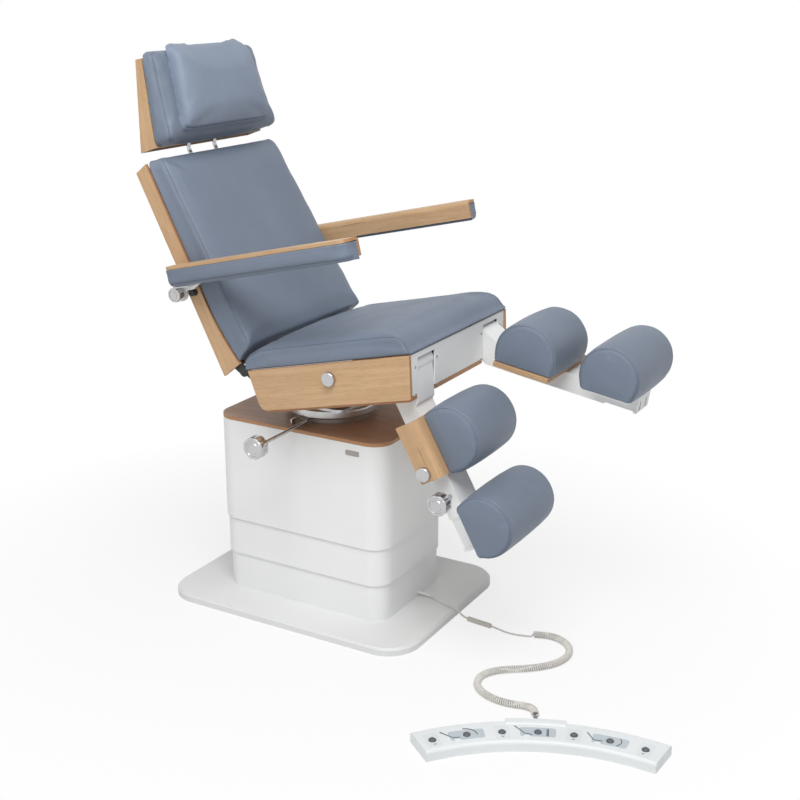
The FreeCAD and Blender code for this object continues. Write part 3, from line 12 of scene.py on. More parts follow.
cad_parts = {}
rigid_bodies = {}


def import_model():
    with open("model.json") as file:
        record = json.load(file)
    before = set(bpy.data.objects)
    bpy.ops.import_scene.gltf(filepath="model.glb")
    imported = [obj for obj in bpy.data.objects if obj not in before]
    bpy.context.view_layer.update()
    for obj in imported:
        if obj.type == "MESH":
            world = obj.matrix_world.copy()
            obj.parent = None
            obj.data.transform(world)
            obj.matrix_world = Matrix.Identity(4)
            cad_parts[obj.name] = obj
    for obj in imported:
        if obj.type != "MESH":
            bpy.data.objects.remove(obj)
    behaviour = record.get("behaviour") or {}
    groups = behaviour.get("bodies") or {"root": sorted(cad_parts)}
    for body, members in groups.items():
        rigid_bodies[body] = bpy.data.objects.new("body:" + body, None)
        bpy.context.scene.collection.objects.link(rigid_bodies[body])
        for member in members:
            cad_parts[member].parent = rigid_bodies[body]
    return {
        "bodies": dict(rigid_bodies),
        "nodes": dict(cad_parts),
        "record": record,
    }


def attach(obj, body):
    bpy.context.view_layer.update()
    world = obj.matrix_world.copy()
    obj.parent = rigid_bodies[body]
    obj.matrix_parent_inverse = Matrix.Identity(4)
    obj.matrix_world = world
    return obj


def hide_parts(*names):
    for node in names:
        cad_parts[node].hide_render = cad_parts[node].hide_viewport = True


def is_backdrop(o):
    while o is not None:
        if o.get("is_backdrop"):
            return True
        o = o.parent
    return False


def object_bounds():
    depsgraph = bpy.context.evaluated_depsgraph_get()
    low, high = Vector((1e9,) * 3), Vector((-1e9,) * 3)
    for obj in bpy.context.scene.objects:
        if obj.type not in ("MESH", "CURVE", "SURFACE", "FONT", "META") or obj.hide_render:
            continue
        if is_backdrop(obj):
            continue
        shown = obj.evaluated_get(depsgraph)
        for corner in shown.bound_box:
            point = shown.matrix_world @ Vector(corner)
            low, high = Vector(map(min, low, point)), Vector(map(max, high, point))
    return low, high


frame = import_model()
cad_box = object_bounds()

bl_info = {
    "name": "Podiatry chair",
    "version": (1, 0, 0),
    "blender": (4, 5, 0),
    "location": "3D View > Sidebar > Podiatry chair",
    "description": "Upholstery, finishes, cord and studio of the podiatry chair",
    "category": "Object",
}

# Tilts of the chair's parts about the Y axis, in degrees
SEAT_TILT = 13.0
BACK_LEAN = 26.9
LEG_PIVOT = (0.369, 0.798)
LEG_TILTS = {"right": -61.0, "left": -9.2}
SIDES = {"right": -1, "left": 1}

# Cord routes, in metres
THIN_CORD_ROUTE = [
    (0.278, 0.034, 0.0295), (0.303, 0.034, 0.0295), (0.345, 0.0195, 0.0254), (0.378, 0.0085, 0.0256),
    (0.405, 0.003, 0.0265), (0.428, -0.0015, 0.0088), (0.462, -0.004, 0.0074), (0.5, -0.0076, 0.0073),
    (0.532, -0.0112, 0.007), (0.568, -0.015, 0.0032), (0.592, -0.013, 0.0028), (0.611, -0.0095, 0.0026),
    (0.635, -0.002, 0.00255),
]
CURLY_CORD_ROUTE = [
    (0.635, -0.002, 0.0103), (0.655, 0.0042, 0.0103), (0.69, 0.017, 0.0103), (0.73, 0.007, 0.0103),
    (0.76, -0.02, 0.0103), (0.774, -0.062, 0.0103), (0.766, -0.108, 0.0103), (0.736, -0.151, 0.0103),
    (0.7, -0.183, 0.0103), (0.662, -0.208, 0.0103), (0.631, -0.238, 0.0103), (0.617, -0.275, 0.0103),
    (0.628, -0.317, 0.0103), (0.661, -0.345, 0.0103), (0.705, -0.358, 0.0103), (0.748, -0.356, 0.0103),
    (0.783, -0.345, 0.0104), (0.809, -0.353, 0.011), (0.8227, -0.3818, 0.011),
]

# Cushion sections along each form: share, then height or thickness, crown and waist
SEAT_SECTIONS = [
    (0, 0.5, 0.05, 0), (0.02, 0.66, 0.12, 0), (0.055, 0.83, 0.3, 0), (0.13, 1, 0.6, 0.5), (0.45, 1, 1, 1),
    (0.7, 1, 0.9, 0.8), (0.87, 1, 0.6, 0.4), (0.94, 0.91, 0.4, 0.25), (0.972, 0.65, 0.25, 0.1),
    (0.99, 0.33, 0.12, 0.05), (1, 0.06, 0.03, 0),
]
# Share, lean of the side, thickness, crown, waist
BACK_SECTIONS = [
    (0, 0.7, 1.02, 0.2, 0), (0.08, 0.66, 1, 0.5, 0.3), (0.16, 0.58, 1, 0.7, 0.5), (0.32, 0.3, 1, 0.9, 0.8),
    (0.55, 0.08, 1, 1, 1), (0.8, 0, 1, 0.8, 0.6), (0.93, 0, 1, 0.5, 0.5), (0.97, 0, 0.96, 0.35, 1.2),
    (1, 0, 0.85, 0.15, 4),
]
HEAD_SECTIONS = [
    (0, 0.8, 0.1, 6), (0.03, 0.93, 0.3, 2.8), (0.09, 1, 0.6, 0.8), (0.2, 1, 0.8, 0.5), (0.5, 1, 1, 1),
    (0.8, 1, 0.8, 0.5), (0.91, 1, 0.6, 0.8), (0.97, 0.93, 0.3, 2.8), (1, 0.8, 0.1, 6),
]
# Share across, thickness, sag of the top and rounding of the corners
PILLOW_SECTIONS = [
    (-1, 0.75, 0, 1), (-0.95, 0.93, 0, 0.35), (-0.85, 1, 0.15, 0), (-0.45, 1, 0.8, 0), (0, 1, 1, 0),
    (0.45, 1, 0.8, 0), (0.85, 1, 0.15, 0), (0.95, 0.93, 0, 0.35), (1, 0.75, 0, 1),
]
ROUND_PAD_SECTIONS = [(0, 1), (0.12, 0.35), (0.5, 0), (0.88, 0.35), (1, 1)]

# Foot control: middle of its arc, ring of its buttons and their angles
CONTROL_CENTRE = (1.118, -1.001)
CONTROL_TOP = 0.028
BUTTON_RING = 0.592
BUTTON_ANGLES = [139.8 - 8.2 * step for step in range(7)]

# Cushions: half width on the board, draw of one waist, height of a full crown, lean of the backrest's side
BOARD_HALF = 0.273
WAIST_DRAW = 0.0035
FULL_CROWN = 0.011
HEAD_CROWN = 0.008
SIDE_LEAN = 0.031
SIDE_BULGE = 0.008

# Simulation of the covers
LAST_FRAME = 20
START_SHRINK = 0.0025

# One layer of the plywood, twice over
PLY_PITCH = 0.0026

# Step of the curly cord's middle line, its straight ends, the run into the curls and points on each curl
LINE_STEP = 0.0005
CURL_LEAD = 0.0045
CURL_RUN_IN = 0.006
CURL_STEPS = 16

# Depth of a knob's head by its radius
KNOB_HEADS = {0.03: 0.027, 0.02: 0.018, 0.028: 0.026}

# Middle of the bare plate on the pedestal
BADGE_SPOT = (0.1815, -0.185, 0.5125)

# Screws of the white front plate, across and up
FRONT_PLATE_FACE = 0.404
SCREW_SPOTS = [(0.128, 0.7265), (0.128, 0.8), (0.24, 0.7265), (0.24, 0.8)]

# Round pads in their leg arm's own frame
CALF_PAD = {"centre": 0.215, "radius": 0.0928, "rise": 0.0335, "inner": 0.006, "outer": 0.241,
            "base": -0.0082}
FOOT_PAD = {"centre": 0.4455, "radius": 0.0873, "rise": 0.0457, "inner": 0.012, "outer": 0.287,
            "base": -0.0085}

# Knobs: along and up, and the leg knob's in its leg arm's own frame
SWIVEL_KNOB = (0.005, 0.5583)
ARM_KNOB = (-0.288, 0.917)
LEG_KNOB = (0.352, 0, -0.0465)

# Sewing: step of a seam's path, rows of stitches beside it, and what seams and stitches keep from the board
SEAM_STEP = 0.002
STITCH_OFFSETS = (-0.0045, 0.0045)
SEAM_CLEAR = 0.003
STITCH_CLEAR = 0.004
SLACK_SIZE = 0.09

# Camera of the photo, lamps and floor
CAMERA_PLACE = (1.929, -2.9634, 1.7324)
CAMERA_WAY = (-0.4745, 0.8238, -0.3101)
KEY_LAMP = {"place": (1.3, -2.05, 4.15), "target": (0, 0, 0.7), "size": (2.6, 2.2)}
FILL_LAMP = {"place": (-0.4, -3.8, 1.9), "target": (0, 0, 0.6), "size": (2.2, 2.2)}
FLOOR_RADIUS = 40
FLOOR_SIDES = 48


def length(label, text, default, least=0.0):
    """Property of a size in metres."""
    return FloatProperty(name=label, description=text, default=default, min=least,
                         subtype="DISTANCE", unit="LENGTH")


def tone(label, text, default):
    """Property of a finish's colour."""
    return FloatVectorProperty(name=label, description=text, default=default, subtype="COLOR",
                               min=0, max=1)


def power(label, text, default):
    """Property of a lamp's power."""
    return FloatProperty(name=label, description=text, default=default, min=0.0, unit="POWER")


class ChairSizes(bpy.types.PropertyGroup):
    """Sizes of the upholstery and the small fittings."""

    cover_pressure: FloatProperty(
        name="Cover pressure", description="How hard the foam fills its cover", default=4.0, min=0.0)
    cover_movement: length("Cover movement", "How far the cover may move as it fills", 0.006)
    seam_depth: length("Seam depth", "How deep a seam pulls into the cover", 0.0016)
    seam_width: length("Seam width", "Half width of the dip along a seam", 0.0032, 0.0005)
    seam_cord: length("Seam cord radius", "Radius of the folded edge in a seam", 0.0009, 0.0002)
    stitch_pitch: length("Stitch pitch", "Distance from one stitch to the next", 0.0048, 0.001)
    stitch_length: length("Stitch length", "Length of one stitch", 0.0034, 0.0005)
    thread_radius: length("Thread radius", "Radius of the sewing thread", 0.00035, 0.0001)
    curl_count: IntProperty(name="Curls", description="Turns of the curly cord", default=124, min=12)
    curl_radius: length("Curl radius", "Outer radius of the curly cord", 0.01, 0.004)
    curl_wire: length("Curl wire radius", "Radius of the curly cord's wire", 0.00225, 0.0005)
    thin_cord: length("Thin cord radius", "Radius of the thin cord", 0.0025, 0.0005)
    screw_radius: length("Screw head radius", "Radius of the front plate's screw heads", 0.0042, 0.001)
    badge_length: length("Badge length", "Length of the bare plate on the pedestal", 0.043, 0.01)
    badge_height: length("Badge height", "Height of the bare plate on the pedestal", 0.015, 0.005)


class ChairColours(bpy.types.PropertyGroup):
    """Colours of the finishes."""

    vinyl: tone("Vinyl", "Upholstery", (0.182, 0.22, 0.288))
    seam: tone("Seams", "Folded seams and thread", (0.13, 0.155, 0.2))
    oak: tone("Oak", "Lacquered oak", (0.6, 0.392, 0.222))
    oak_figure: tone("Oak figure", "Darker figure of the oak", (0.44, 0.262, 0.135))
    ply_edge: tone("Plywood edge", "Cut edges of the plywood", (0.46, 0.235, 0.11))
    top_board: tone("Top board", "Darker board on the pedestal", (0.47, 0.285, 0.19))
    top_board_figure: tone("Top board figure", "Figure of the darker board", (0.34, 0.2, 0.13))
    white_paint: tone("White paint", "Pedestal and arms", (0.87, 0.88, 0.875))
    plate_paint: tone("Base plate paint", "Plate on the floor", (0.74, 0.75, 0.745))
    frame_paint: tone("Frame paint", "Inner steel frame", (0.03, 0.031, 0.033))
    steel: tone("Turned steel", "Turntable and slides", (0.6, 0.6, 0.6))
    chrome: tone("Chrome", "Knobs, caps and rods", (0.56, 0.56, 0.57))
    cord: tone("Cord", "Sheath of the cords", (0.72, 0.7, 0.66))
    housing: tone("Foot control", "Housing of the foot control", (0.8, 0.83, 0.84))
    control_pad: tone("Control pads", "Grey fields of the foot control", (0.52, 0.58, 0.62))
    button: tone("Buttons", "Push buttons", (0.1, 0.112, 0.128))


class ChairStudio(bpy.types.PropertyGroup):
    """Light and camera."""

    key_power: power("Key lamp", "Large soft lamp high in front of the chair", 145.0)
    fill_power: power("Fill lamp", "Soft lamp low on the right side", 11.0)
    ambient: FloatProperty(
        name="Room light", description="Even light of the white room", default=0.35, min=0.0)
    lens: FloatProperty(
        name="Lens", description="Focal length of the camera in millimetres", default=58.917, min=10.0)


def sizes():
    return bpy.context.scene.chair_sizes


def colours():
    return bpy.context.scene.chair_colours


# Node helpers


def add_node(tree, kind, feeds=None, **settings):
    """Add a node, set it up and feed its inputs with sockets or values."""
    node = tree.nodes.new(kind)
    for name, value in settings.items():
        setattr(node, name, value)
    for key, value in (feeds or {}).items():
        if isinstance(value, bpy.types.NodeSocket):
            tree.links.new(value, node.inputs[key])
        else:
            node.inputs[key].default_value = value
    return node


def new_finish(name, **values):
    """Empty material with its shader and the object coordinates."""
    material = bpy.data.materials.new(name)
    material.use_nodes = True
    tree = material.node_tree
    tree.nodes.clear()
    output = add_node(tree, "ShaderNodeOutputMaterial")
    feeds = {key.replace("_", " "): value for key, value in values.items()}
    shader = add_node(tree, "ShaderNodeBsdfPrincipled", feeds)
    tree.links.new(shader.outputs["BSDF"], output.inputs["Surface"])
    return material, tree, shader, add_node(tree, "ShaderNodeTexCoord").outputs["Object"]


def mapped(tree, socket, scale=(1, 1, 1), turn=(0, 0, 0), kind="POINT"):
    angles = [math.radians(angle) for angle in turn]
    feeds = {"Vector": socket, "Rotation": angles, "Scale": scale}
    return add_node(tree, "ShaderNodeMapping", feeds, vector_type=kind).outputs["Vector"]


def cloud(tree, socket, scale, detail=3.0, roughness=0.5, distortion=0.0):
    feeds = {"Vector": socket, "Scale": scale, "Detail": detail, "Roughness": roughness,
             "Distortion": distortion}
    return add_node(tree, "ShaderNodeTexNoise", feeds).outputs["Fac"]


def spread(tree, socket, low, high, to_low=0.0, to_high=1.0):
    feeds = {"Value": socket, "From Min": low, "From Max": high, "To Min": to_low, "To Max": to_high}
    return add_node(tree, "ShaderNodeMapRange", feeds).outputs["Result"]


def blended(tree, factor, first, second, mode="MIX"):
    """Mix two colours, each a socket or a plain colour."""
    node = add_node(tree, "ShaderNodeMix", data_type="RGBA", blend_type=mode)
    for key, value in ((0, factor), (6, first), (7, second)):
        if isinstance(value, bpy.types.NodeSocket):
            tree.links.new(value, node.inputs[key])
        elif key == 0:
            node.inputs[key].default_value = value
        else:
            node.inputs[key].default_value = (*value[:3], 1.0)
    return node.outputs[2]


def sum_up(tree, mode, first, second):
    return add_node(tree, "ShaderNodeMath", {0: first, 1: second}, operation=mode).outputs["Value"]


def raise_surface(tree, shader, height, strength, distance, below=None):
    feeds = {"Height": height, "Strength": strength, "Distance": distance}
    bump = add_node(tree, "ShaderNodeBump", feeds)
    if below is not None:
        tree.links.new(below, bump.inputs["Normal"])
    tree.links.new(bump.outputs["Normal"], shader.inputs["Normal"])
    return bump.outputs["Normal"]


def shaded(colour, factor):
    return tuple(min(1.0, channel * factor) for channel in colour)


def clouded(tree, mask, low, high, colour, dark, light):
    """Colour that wavers between a darker and a lighter shade of itself."""
    return blended(tree, spread(tree, mask, low, high), shaded(colour, dark), shaded(colour, light))


def patched(tree, base, mask, low, high, share, tint):
    """Base with a tint laid over it where the mask is high."""
    return blended(tree, spread(tree, mask, low, high, 0.0, share), base, tint)


def feed(tree, shader, base, mask=None, span=(), to=()):
    """Give the shader its colour, and its roughness from a mask."""
    tree.links.new(base, shader.inputs["Base Color"])
    if mask is not None:
        tree.links.new(spread(tree, mask, *span, *to), shader.inputs["Roughness"])


# Finishes


def vinyl_finish(name, colour):
    """Soft upholstery vinyl: fine leather grain with painted shade in its grooves, faint clouding and
    smoother worn areas.
    """
    material, tree, shader, spot = new_finish(
        name, Specular_IOR_Level=0.42, Sheen_Weight=0.06, Sheen_Roughness=0.4)
    cells = add_node(tree, "ShaderNodeTexVoronoi", {"Vector": spot, "Scale": 620.0},
                     feature="DISTANCE_TO_EDGE").outputs["Distance"]
    grooves = spread(tree, cells, 0.0, 0.12)
    soft = cloud(tree, spot, 4.5, 3.0, 0.55)
    base = clouded(tree, soft, 0.3, 0.7, colour, 0.93, 1.07)
    base = patched(tree, base, cloud(tree, spot, 38.0, 4.0, 0.6), 0.35, 0.75, 0.35, shaded(colour, 0.9))
    # The grain's grooves are painted darker: painted shade in the recesses of the grain.
    base = blended(tree, grooves, shaded(colour, 0.84), base)
    feed(tree, shader, base, soft, (0.35, 0.7), (0.56, 0.44))
    creases = sum_up(tree, "MULTIPLY", cloud(tree, spot, 1500.0, 2.0), 0.35)
    grain = raise_surface(tree, shader, sum_up(tree, "ADD", grooves, creases), 0.35, 0.00035)
    raise_surface(tree, shader, cloud(tree, spot, 16.0, 2.0), 0.25, 0.0018, grain)
    return material


def thread_finish(name, colour):
    """Twisted sewing thread, painted darker in the troughs of its twist and lighter on its ridges: painted
    shade and painted highlight.
    """
    material, tree, shader, spot = new_finish(name, Roughness=0.7, Specular_IOR_Level=0.3)
    twist = add_node(tree, "ShaderNodeTexWave", {"Vector": spot, "Scale": 900.0, "Distortion": 2.0},
                     bands_direction="DIAGONAL").outputs["Fac"]
    # The twist bands are painted shade in their troughs and painted highlight on their ridges.
    base = blended(tree, twist, shaded(colour, 0.8), shaded(colour, 1.15))
    feed(tree, shader, patched(tree, base, cloud(tree, spot, 60.0), 0.4, 0.7, 0.4, shaded(colour, 1.3)))
    raise_surface(tree, shader, twist, 0.4, 0.0002)
    return material


def wood_finish(name, light, dark, edge, lean, edge_axis):
    """Lacquered oak veneer with its grain along the part, and cut plywood edges."""
    material, tree, shader, spot = new_finish(
        name, Specular_IOR_Level=0.4, Coat_Weight=0.12, Coat_Roughness=0.35)
    facing = mapped(tree, spot.node.outputs["Normal"], turn=(0, lean, 0), kind="VECTOR")
    spot = mapped(tree, spot, turn=(0, lean, 0))

    def figure(along, across, detail, roughness=0.5, distortion=0.0):
        return cloud(tree, mapped(tree, spot, (along, across, across)), 1.0, detail, roughness, distortion)

    rings = figure(1.1, 8.5, 3.0, 0.45, 0.35)
    streaks = figure(3.2, 130.0, 4.0, 0.6)
    pores = figure(34.0, 1500.0, 2.0)
    waves = sum_up(tree, "SINE", sum_up(tree, "MULTIPLY", rings, 62.0), 0.0)
    base = patched(tree, light, waves, -1.0, 1.0, 0.42, dark)
    base = patched(tree, base, streaks, 0.36, 0.68, 0.6, dark)
    base = patched(tree, base, figure(1.6, 5.0, 2.0), 0.35, 0.7, 0.4, shaded(light, 1.12))
    base = patched(tree, base, pores, 0.56, 0.66, 0.4, shaded(dark, 0.55))
    base = patched(tree, base, figure(5.5, 210.0, 3.0, 0.55, 0.2), 0.66, 0.73, 0.75, shaded(dark, 0.5))
    parts = add_node(tree, "ShaderNodeSeparateXYZ", {"Vector": facing})
    along = sum_up(tree, "ABSOLUTE", parts.outputs[edge_axis], 0.0)
    bent = edge_axis == "X"
    cut = spread(tree, along, 0.6, 0.75) if bent else spread(tree, along, 0.35, 0.5, 1.0, 0.0)
    depth = add_node(tree, "ShaderNodeSeparateXYZ", {"Vector": spot}).outputs["Z" if bent else edge_axis]
    layers = sum_up(tree, "SINE", sum_up(tree, "MULTIPLY", depth, 2 * math.pi / PLY_PITCH), 0.0)
    layer_tone = clouded(tree, layers, -0.4, 0.4, edge, 0.78, 1.16)
    layer_tone = patched(tree, layer_tone, streaks, 0.3, 0.7, 0.5, edge)
    feed(tree, shader, blended(tree, cut, base, layer_tone), streaks, (0.3, 0.7), (0.44, 0.58))
    grain = raise_surface(tree, shader, pores, 0.22, 0.0002)
    raise_surface(tree, shader, streaks, 0.12, 0.0003, grain)
    return material


def paint_finish(name, colour, peel=1.0, roughness=0.38):
    """Satin powder coat: orange peel, faint clouding and dulled patches."""
    material, tree, shader, spot = new_finish(name, Specular_IOR_Level=0.42)
    rubbed = cloud(tree, mapped(tree, spot, (3.0, 3.0, 26.0)), 1.0, 5.0, 0.62)
    base = clouded(tree, cloud(tree, spot, 2.6), 0.3, 0.7, colour, 0.97, 1.015)
    base = patched(tree, base, cloud(tree, spot, 420.0, 2.0), 0.62, 0.75, 0.3, shaded(colour, 0.9))
    base = patched(tree, base, rubbed, 0.6, 0.8, 0.3, shaded(colour, 0.93))
    feed(tree, shader, base, rubbed, (0.35, 0.75), (roughness - 0.05, roughness + 0.1))
    raise_surface(tree, shader, cloud(tree, spot, 520.0, 2.0, 0.4), 0.16 * peel, 0.0003)
    return material


def turned_steel_finish(name, colour):
    """Stainless steel turned round the upright axis."""
    material, tree, shader, spot = new_finish(name, Metallic=1.0, Anisotropic=0.35)
    parts = add_node(tree, "ShaderNodeSeparateXYZ", {"Vector": spot}).outputs
    flat = add_node(tree, "ShaderNodeCombineXYZ", {"X": parts["X"], "Y": parts["Y"]}).outputs["Vector"]
    radius = add_node(tree, "ShaderNodeVectorMath", {0: flat}, operation="LENGTH").outputs["Value"]
    lathe = add_node(tree, "ShaderNodeCombineXYZ", {"X": radius, "Z": parts["Z"]}).outputs["Vector"]
    lines = cloud(tree, mapped(tree, lathe, (1400.0, 1.0, 1400.0)), 1.0, 2.0)
    smear = cloud(tree, spot, 9.0, 4.0, 0.6)
    base = blended(tree, lines, shaded(colour, 0.86), shaded(colour, 1.1))
    base = patched(tree, base, smear, 0.45, 0.75, 0.35, shaded(colour, 0.75))
    feed(tree, shader, base, smear, (0.3, 0.7), (0.22, 0.4))
    raise_surface(tree, shader, lines, 0.12, 0.0001)
    return material


def chrome_finish(name, colour, roughness=0.12):
    """Polished chrome with finger marks."""
    material, tree, shader, spot = new_finish(name, Metallic=1.0)
    marks = cloud(tree, spot, 34.0, 5.0, 0.6, 0.4)
    base = patched(tree, colour, marks, 0.4, 0.7, 0.5, shaded(colour, 0.82))
    feed(tree, shader, base, marks, (0.35, 0.75), (roughness, roughness + 0.12))
    raise_surface(tree, shader, cloud(tree, spot, 700.0, 2.0), 0.04, 0.0001)
    return material


def plastic_finish(name, colour, roughness=0.45):
    """Moulded plastic with a fine spark texture."""
    material, tree, shader, spot = new_finish(name, Specular_IOR_Level=0.4)
    scuffs = cloud(tree, mapped(tree, spot, (12.0, 40.0, 12.0), (0, 0, 34)), 1.0, 5.0, 0.65)
    base = clouded(tree, cloud(tree, spot, 7.0), 0.3, 0.7, colour, 0.97, 1.02)
    base = patched(tree, base, scuffs, 0.6, 0.78, 0.3, shaded(colour, 0.9))
    feed(tree, shader, base, scuffs, (0.35, 0.75), (roughness - 0.05, roughness + 0.12))
    raise_surface(tree, shader, cloud(tree, spot, 1300.0, 2.0), 0.18, 0.0002)
    return material


def cord_finish(name, colour):
    """Matt cord sheath with dust in it."""
    material, tree, shader, spot = new_finish(name, Specular_IOR_Level=0.35)
    dust = cloud(tree, spot, 55.0, 4.0, 0.6)
    base = clouded(tree, dust, 0.35, 0.7, colour, 0.9, 1.08)
    base = patched(tree, base, cloud(tree, spot, 9.0), 0.45, 0.7, 0.4, shaded(colour, 0.86))
    feed(tree, shader, base, dust, (0.3, 0.7), (0.52, 0.68))
    raise_surface(tree, shader, cloud(tree, spot, 1600.0, 2.0), 0.2, 0.0002)
    return material


def finish_of(name, maker, *values):
    """The material of that name, made the first time it is asked for."""
    return bpy.data.materials.get(name) or maker(name, *values)


def vinyl():
    return finish_of("blue_grey_vinyl", vinyl_finish, tuple(colours().vinyl))


def seam_thread():
    return finish_of("seam_thread", thread_finish, tuple(colours().seam))


# Mesh helpers


def link(name, data):
    """New object at the origin."""
    piece = bpy.data.objects.new(name, data)
    bpy.context.scene.collection.objects.link(piece)
    return piece


def baked_mesh(piece):
    """Plain mesh of the object as its modifiers leave it."""
    graph = bpy.context.evaluated_depsgraph_get()
    return bpy.data.meshes.new_from_object(piece.evaluated_get(graph), depsgraph=graph)


def settle(piece, body, slot, material, replaced=()):
    """Put the finished piece on its body, with its material; its slot is not used."""
    piece.data.materials.clear()
    piece.data.materials.append(material)
    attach(piece, body)
    if replaced:
        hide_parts(*replaced)
    return piece


def smooth_shaded(mesh, angle=None):
    for polygon in mesh.polygons:
        polygon.use_smooth = True
    if angle is not None:
        mesh.set_sharp_from_angle(angle=math.radians(angle))


def closed_mesh(name, rings):
    """Skin over equal rings, closed at both ends, faces outwards."""
    count = len(rings[0])
    points = [tuple(point) for ring in rings for point in ring]
    faces = []
    for row in range(len(rings) - 1):
        for step in range(count):
            here, beside = row * count + step, row * count + (step + 1) % count
            faces.append((here, beside, beside + count, here + count))
    faces.append(tuple(range(count)))
    faces.append(tuple(range((len(rings) - 1) * count, len(rings) * count)))
    mesh = bpy.data.meshes.new(name)
    mesh.from_pydata(points, [], faces)
    outwards(mesh)
    return mesh


def outwards(mesh):
    """Turn a closed mesh's faces outwards, after merging its doubles."""
    work = bmesh.new()
    work.from_mesh(mesh)
    bmesh.ops.remove_doubles(work, verts=work.verts, dist=0.000005)
    bmesh.ops.recalc_face_normals(work, faces=work.faces)
    work.to_mesh(mesh)
    work.free()
    mesh.update()


def coordinates(mesh):
    values = np.empty(len(mesh.vertices) * 3)
    mesh.vertices.foreach_get("co", values)
    return values.reshape(-1, 3)


def normals_of(mesh):
    values = np.empty(len(mesh.vertices) * 3)
    mesh.vertex_normals.foreach_get("vector", values)
    return values.reshape(-1, 3)


def set_coordinates(mesh, values):
    mesh.vertices.foreach_set("co", values.reshape(-1))
    mesh.update()


def tilt_map(origin_x, origin_z, angle, side=1):
    """Place of (along, across, up) in a frame turned up by the angle."""
    cosine, sine = math.cos(math.radians(angle)), math.sin(math.radians(angle))

    def place(point):
        return Vector((origin_x + point[0] * cosine - point[2] * sine, side * point[1],
                       origin_z + point[0] * sine + point[2] * cosine))

    return place


def as_built(point):
    return Vector(point)


def placed_mesh(mesh, name, place, mirrored):
    """Copy of a mesh moved to its place on the chair."""
    copy = mesh.copy()
    copy.name = name
    for vertex in copy.vertices:
        vertex.co = place(vertex.co)
    if mirrored:
        copy.flip_normals()
    copy.update()
    return copy


# Sewn and padded pieces


def refined(rows, steps):
    """Section table with smooth rows between its own."""
    result = []
    for index in range(len(rows) - 1):
        before, here = rows[max(index - 1, 0)], rows[index]
        there, after = rows[index + 1], rows[min(index + 2, len(rows) - 1)]
        span = there[0] - here[0]
        for step in range(steps):
            t = step / steps
            row = [here[0] + t * span]
            for column in range(1, len(here)):
                slope_in = (there[column] - before[column]) / (there[0] - before[0]) * span
                slope_out = (after[column] - here[column]) / (after[0] - here[0]) * span
                row.append((2 * t ** 3 - 3 * t ** 2 + 1) * here[column] + (t ** 3 - 2 * t ** 2 + t) * slope_in
                           + (3 * t ** 2 - 2 * t ** 3) * there[column] + (t ** 3 - t ** 2) * slope_out)
            result.append(tuple(row))
    result.append(tuple(rows[-1]))
    return result


def bowed(start, end, bow, steps):
    """Points from just after one place to another, along a bow."""
    return [start.lerp(end, share) + bow * (4 * share * (1 - share))
            for share in np.linspace(0, 1, steps)[1:]]


def cushion_ring(low, high, half_low, half_high, crown):
    """Section of a cushion: flat base first, bulging sides, crowned top."""
    rise = Vector((high[0] - low[0], high[1] - low[1])).normalized()
    ring = [(low[0], half_low * share, low[1]) for share in np.linspace(-1, 1, 25)]
    side = []
    for share in np.linspace(0, 1, 9)[1:]:
        half = half_low + share * (half_high - half_low) + SIDE_BULGE * share * (1 - share)
        side.append((low[0] + share * (high[0] - low[0]), half, low[1] + share * (high[1] - low[1])))
    ring += side
    for share in np.linspace(1, -1, 33)[1:-1]:
        lift = crown * (1 - share * share)
        ring.append((high[0] + rise.x * lift, half_high * share, high[1] + rise.y * lift))
    return ring + [(x, -y, z) for x, y, z in reversed(side)]


def cushion_form(rows, section):
    """Rings of a cushion and its two seams, from a section's low and high corners."""
    rings, right, left = [], [], []
    for row in refined(rows, 6):
        low, high, half_low, half_high, crown = section(*row)
        rings.append(cushion_ring(low, high, half_low, half_high, crown))
        right.append((high[0], -half_high, high[1]))
        left.append((high[0], half_high, high[1]))
    return {"rings": rings, "base": 25, "seams": {"right": right, "left": left}}


def seat_form():
    low, height, rear, front, half_top = 0.7263, 0.0575, 0.0625, 0.5905, 0.28

    def section(share, high, crown, waist):
        base = rear + share * (front - rear)
        return ((base, low), (base, low + high * height), BOARD_HALF, half_top - waist * WAIST_DRAW,
                crown * FULL_CROWN)

    return cushion_form(SEAT_SECTIONS, section)


def back_form():
    """Backrest cushion: thick below and drawn in upwards, on a board that flares out at its foot."""
    board, low, high, gap = 0.2105, 0.7165, 1.303, 0.0006
    flare, flare_start, flare_end = 0.023, 0.712, 0.9
    mark, face_at_mark, face_slope, half_at_mark, half_slope = 0.743, 0.2951, 0.0609, 0.2895, 0.0448

    def flared(height):
        share = max(0.0, (flare_end - height) / (flare_end - flare_start))
        return board + flare * share * share

    def section(share, lean, thick, crown, waist):
        base = low + share * (high - low)
        side = base + lean * SIDE_LEAN
        face = face_at_mark - face_slope * (side - mark)
        half = half_at_mark - half_slope * (side - mark)
        corner = max(0.0, waist - 1) * WAIST_DRAW
        return ((flared(base) + gap, base), (flared(base) + thick * (face - flared(base)), side),
                BOARD_HALF - corner, half - waist * WAIST_DRAW, crown * FULL_CROWN)

    return cushion_form(BACK_SECTIONS, section)


def head_form():
    def section(share, thick, crown, waist):
        low_x, low_z = -0.3917 - share * 0.04, 1.289 + share * 0.246
        high_x, high_z = -0.328 - share * 0.073, 1.3045 + share * 0.2435
        high = (low_x + thick * (high_x - low_x), low_z + thick * (high_z - low_z))
        corner = max(0.0, waist - 1) * WAIST_DRAW
        return ((low_x, low_z), high, 0.24 - share * 0.01 - corner,
                0.253 - share * 0.0247 - waist * WAIST_DRAW, crown * HEAD_CROWN)

    return cushion_form(HEAD_SECTIONS, section)


def head_face(z, y=0.0):
    """Front of the headrest cushion's crowned face at a height."""
    return -0.3267 - 0.3058 * (z - 1.3045) + 0.0075 * (1 - (y / 0.24) ** 2)


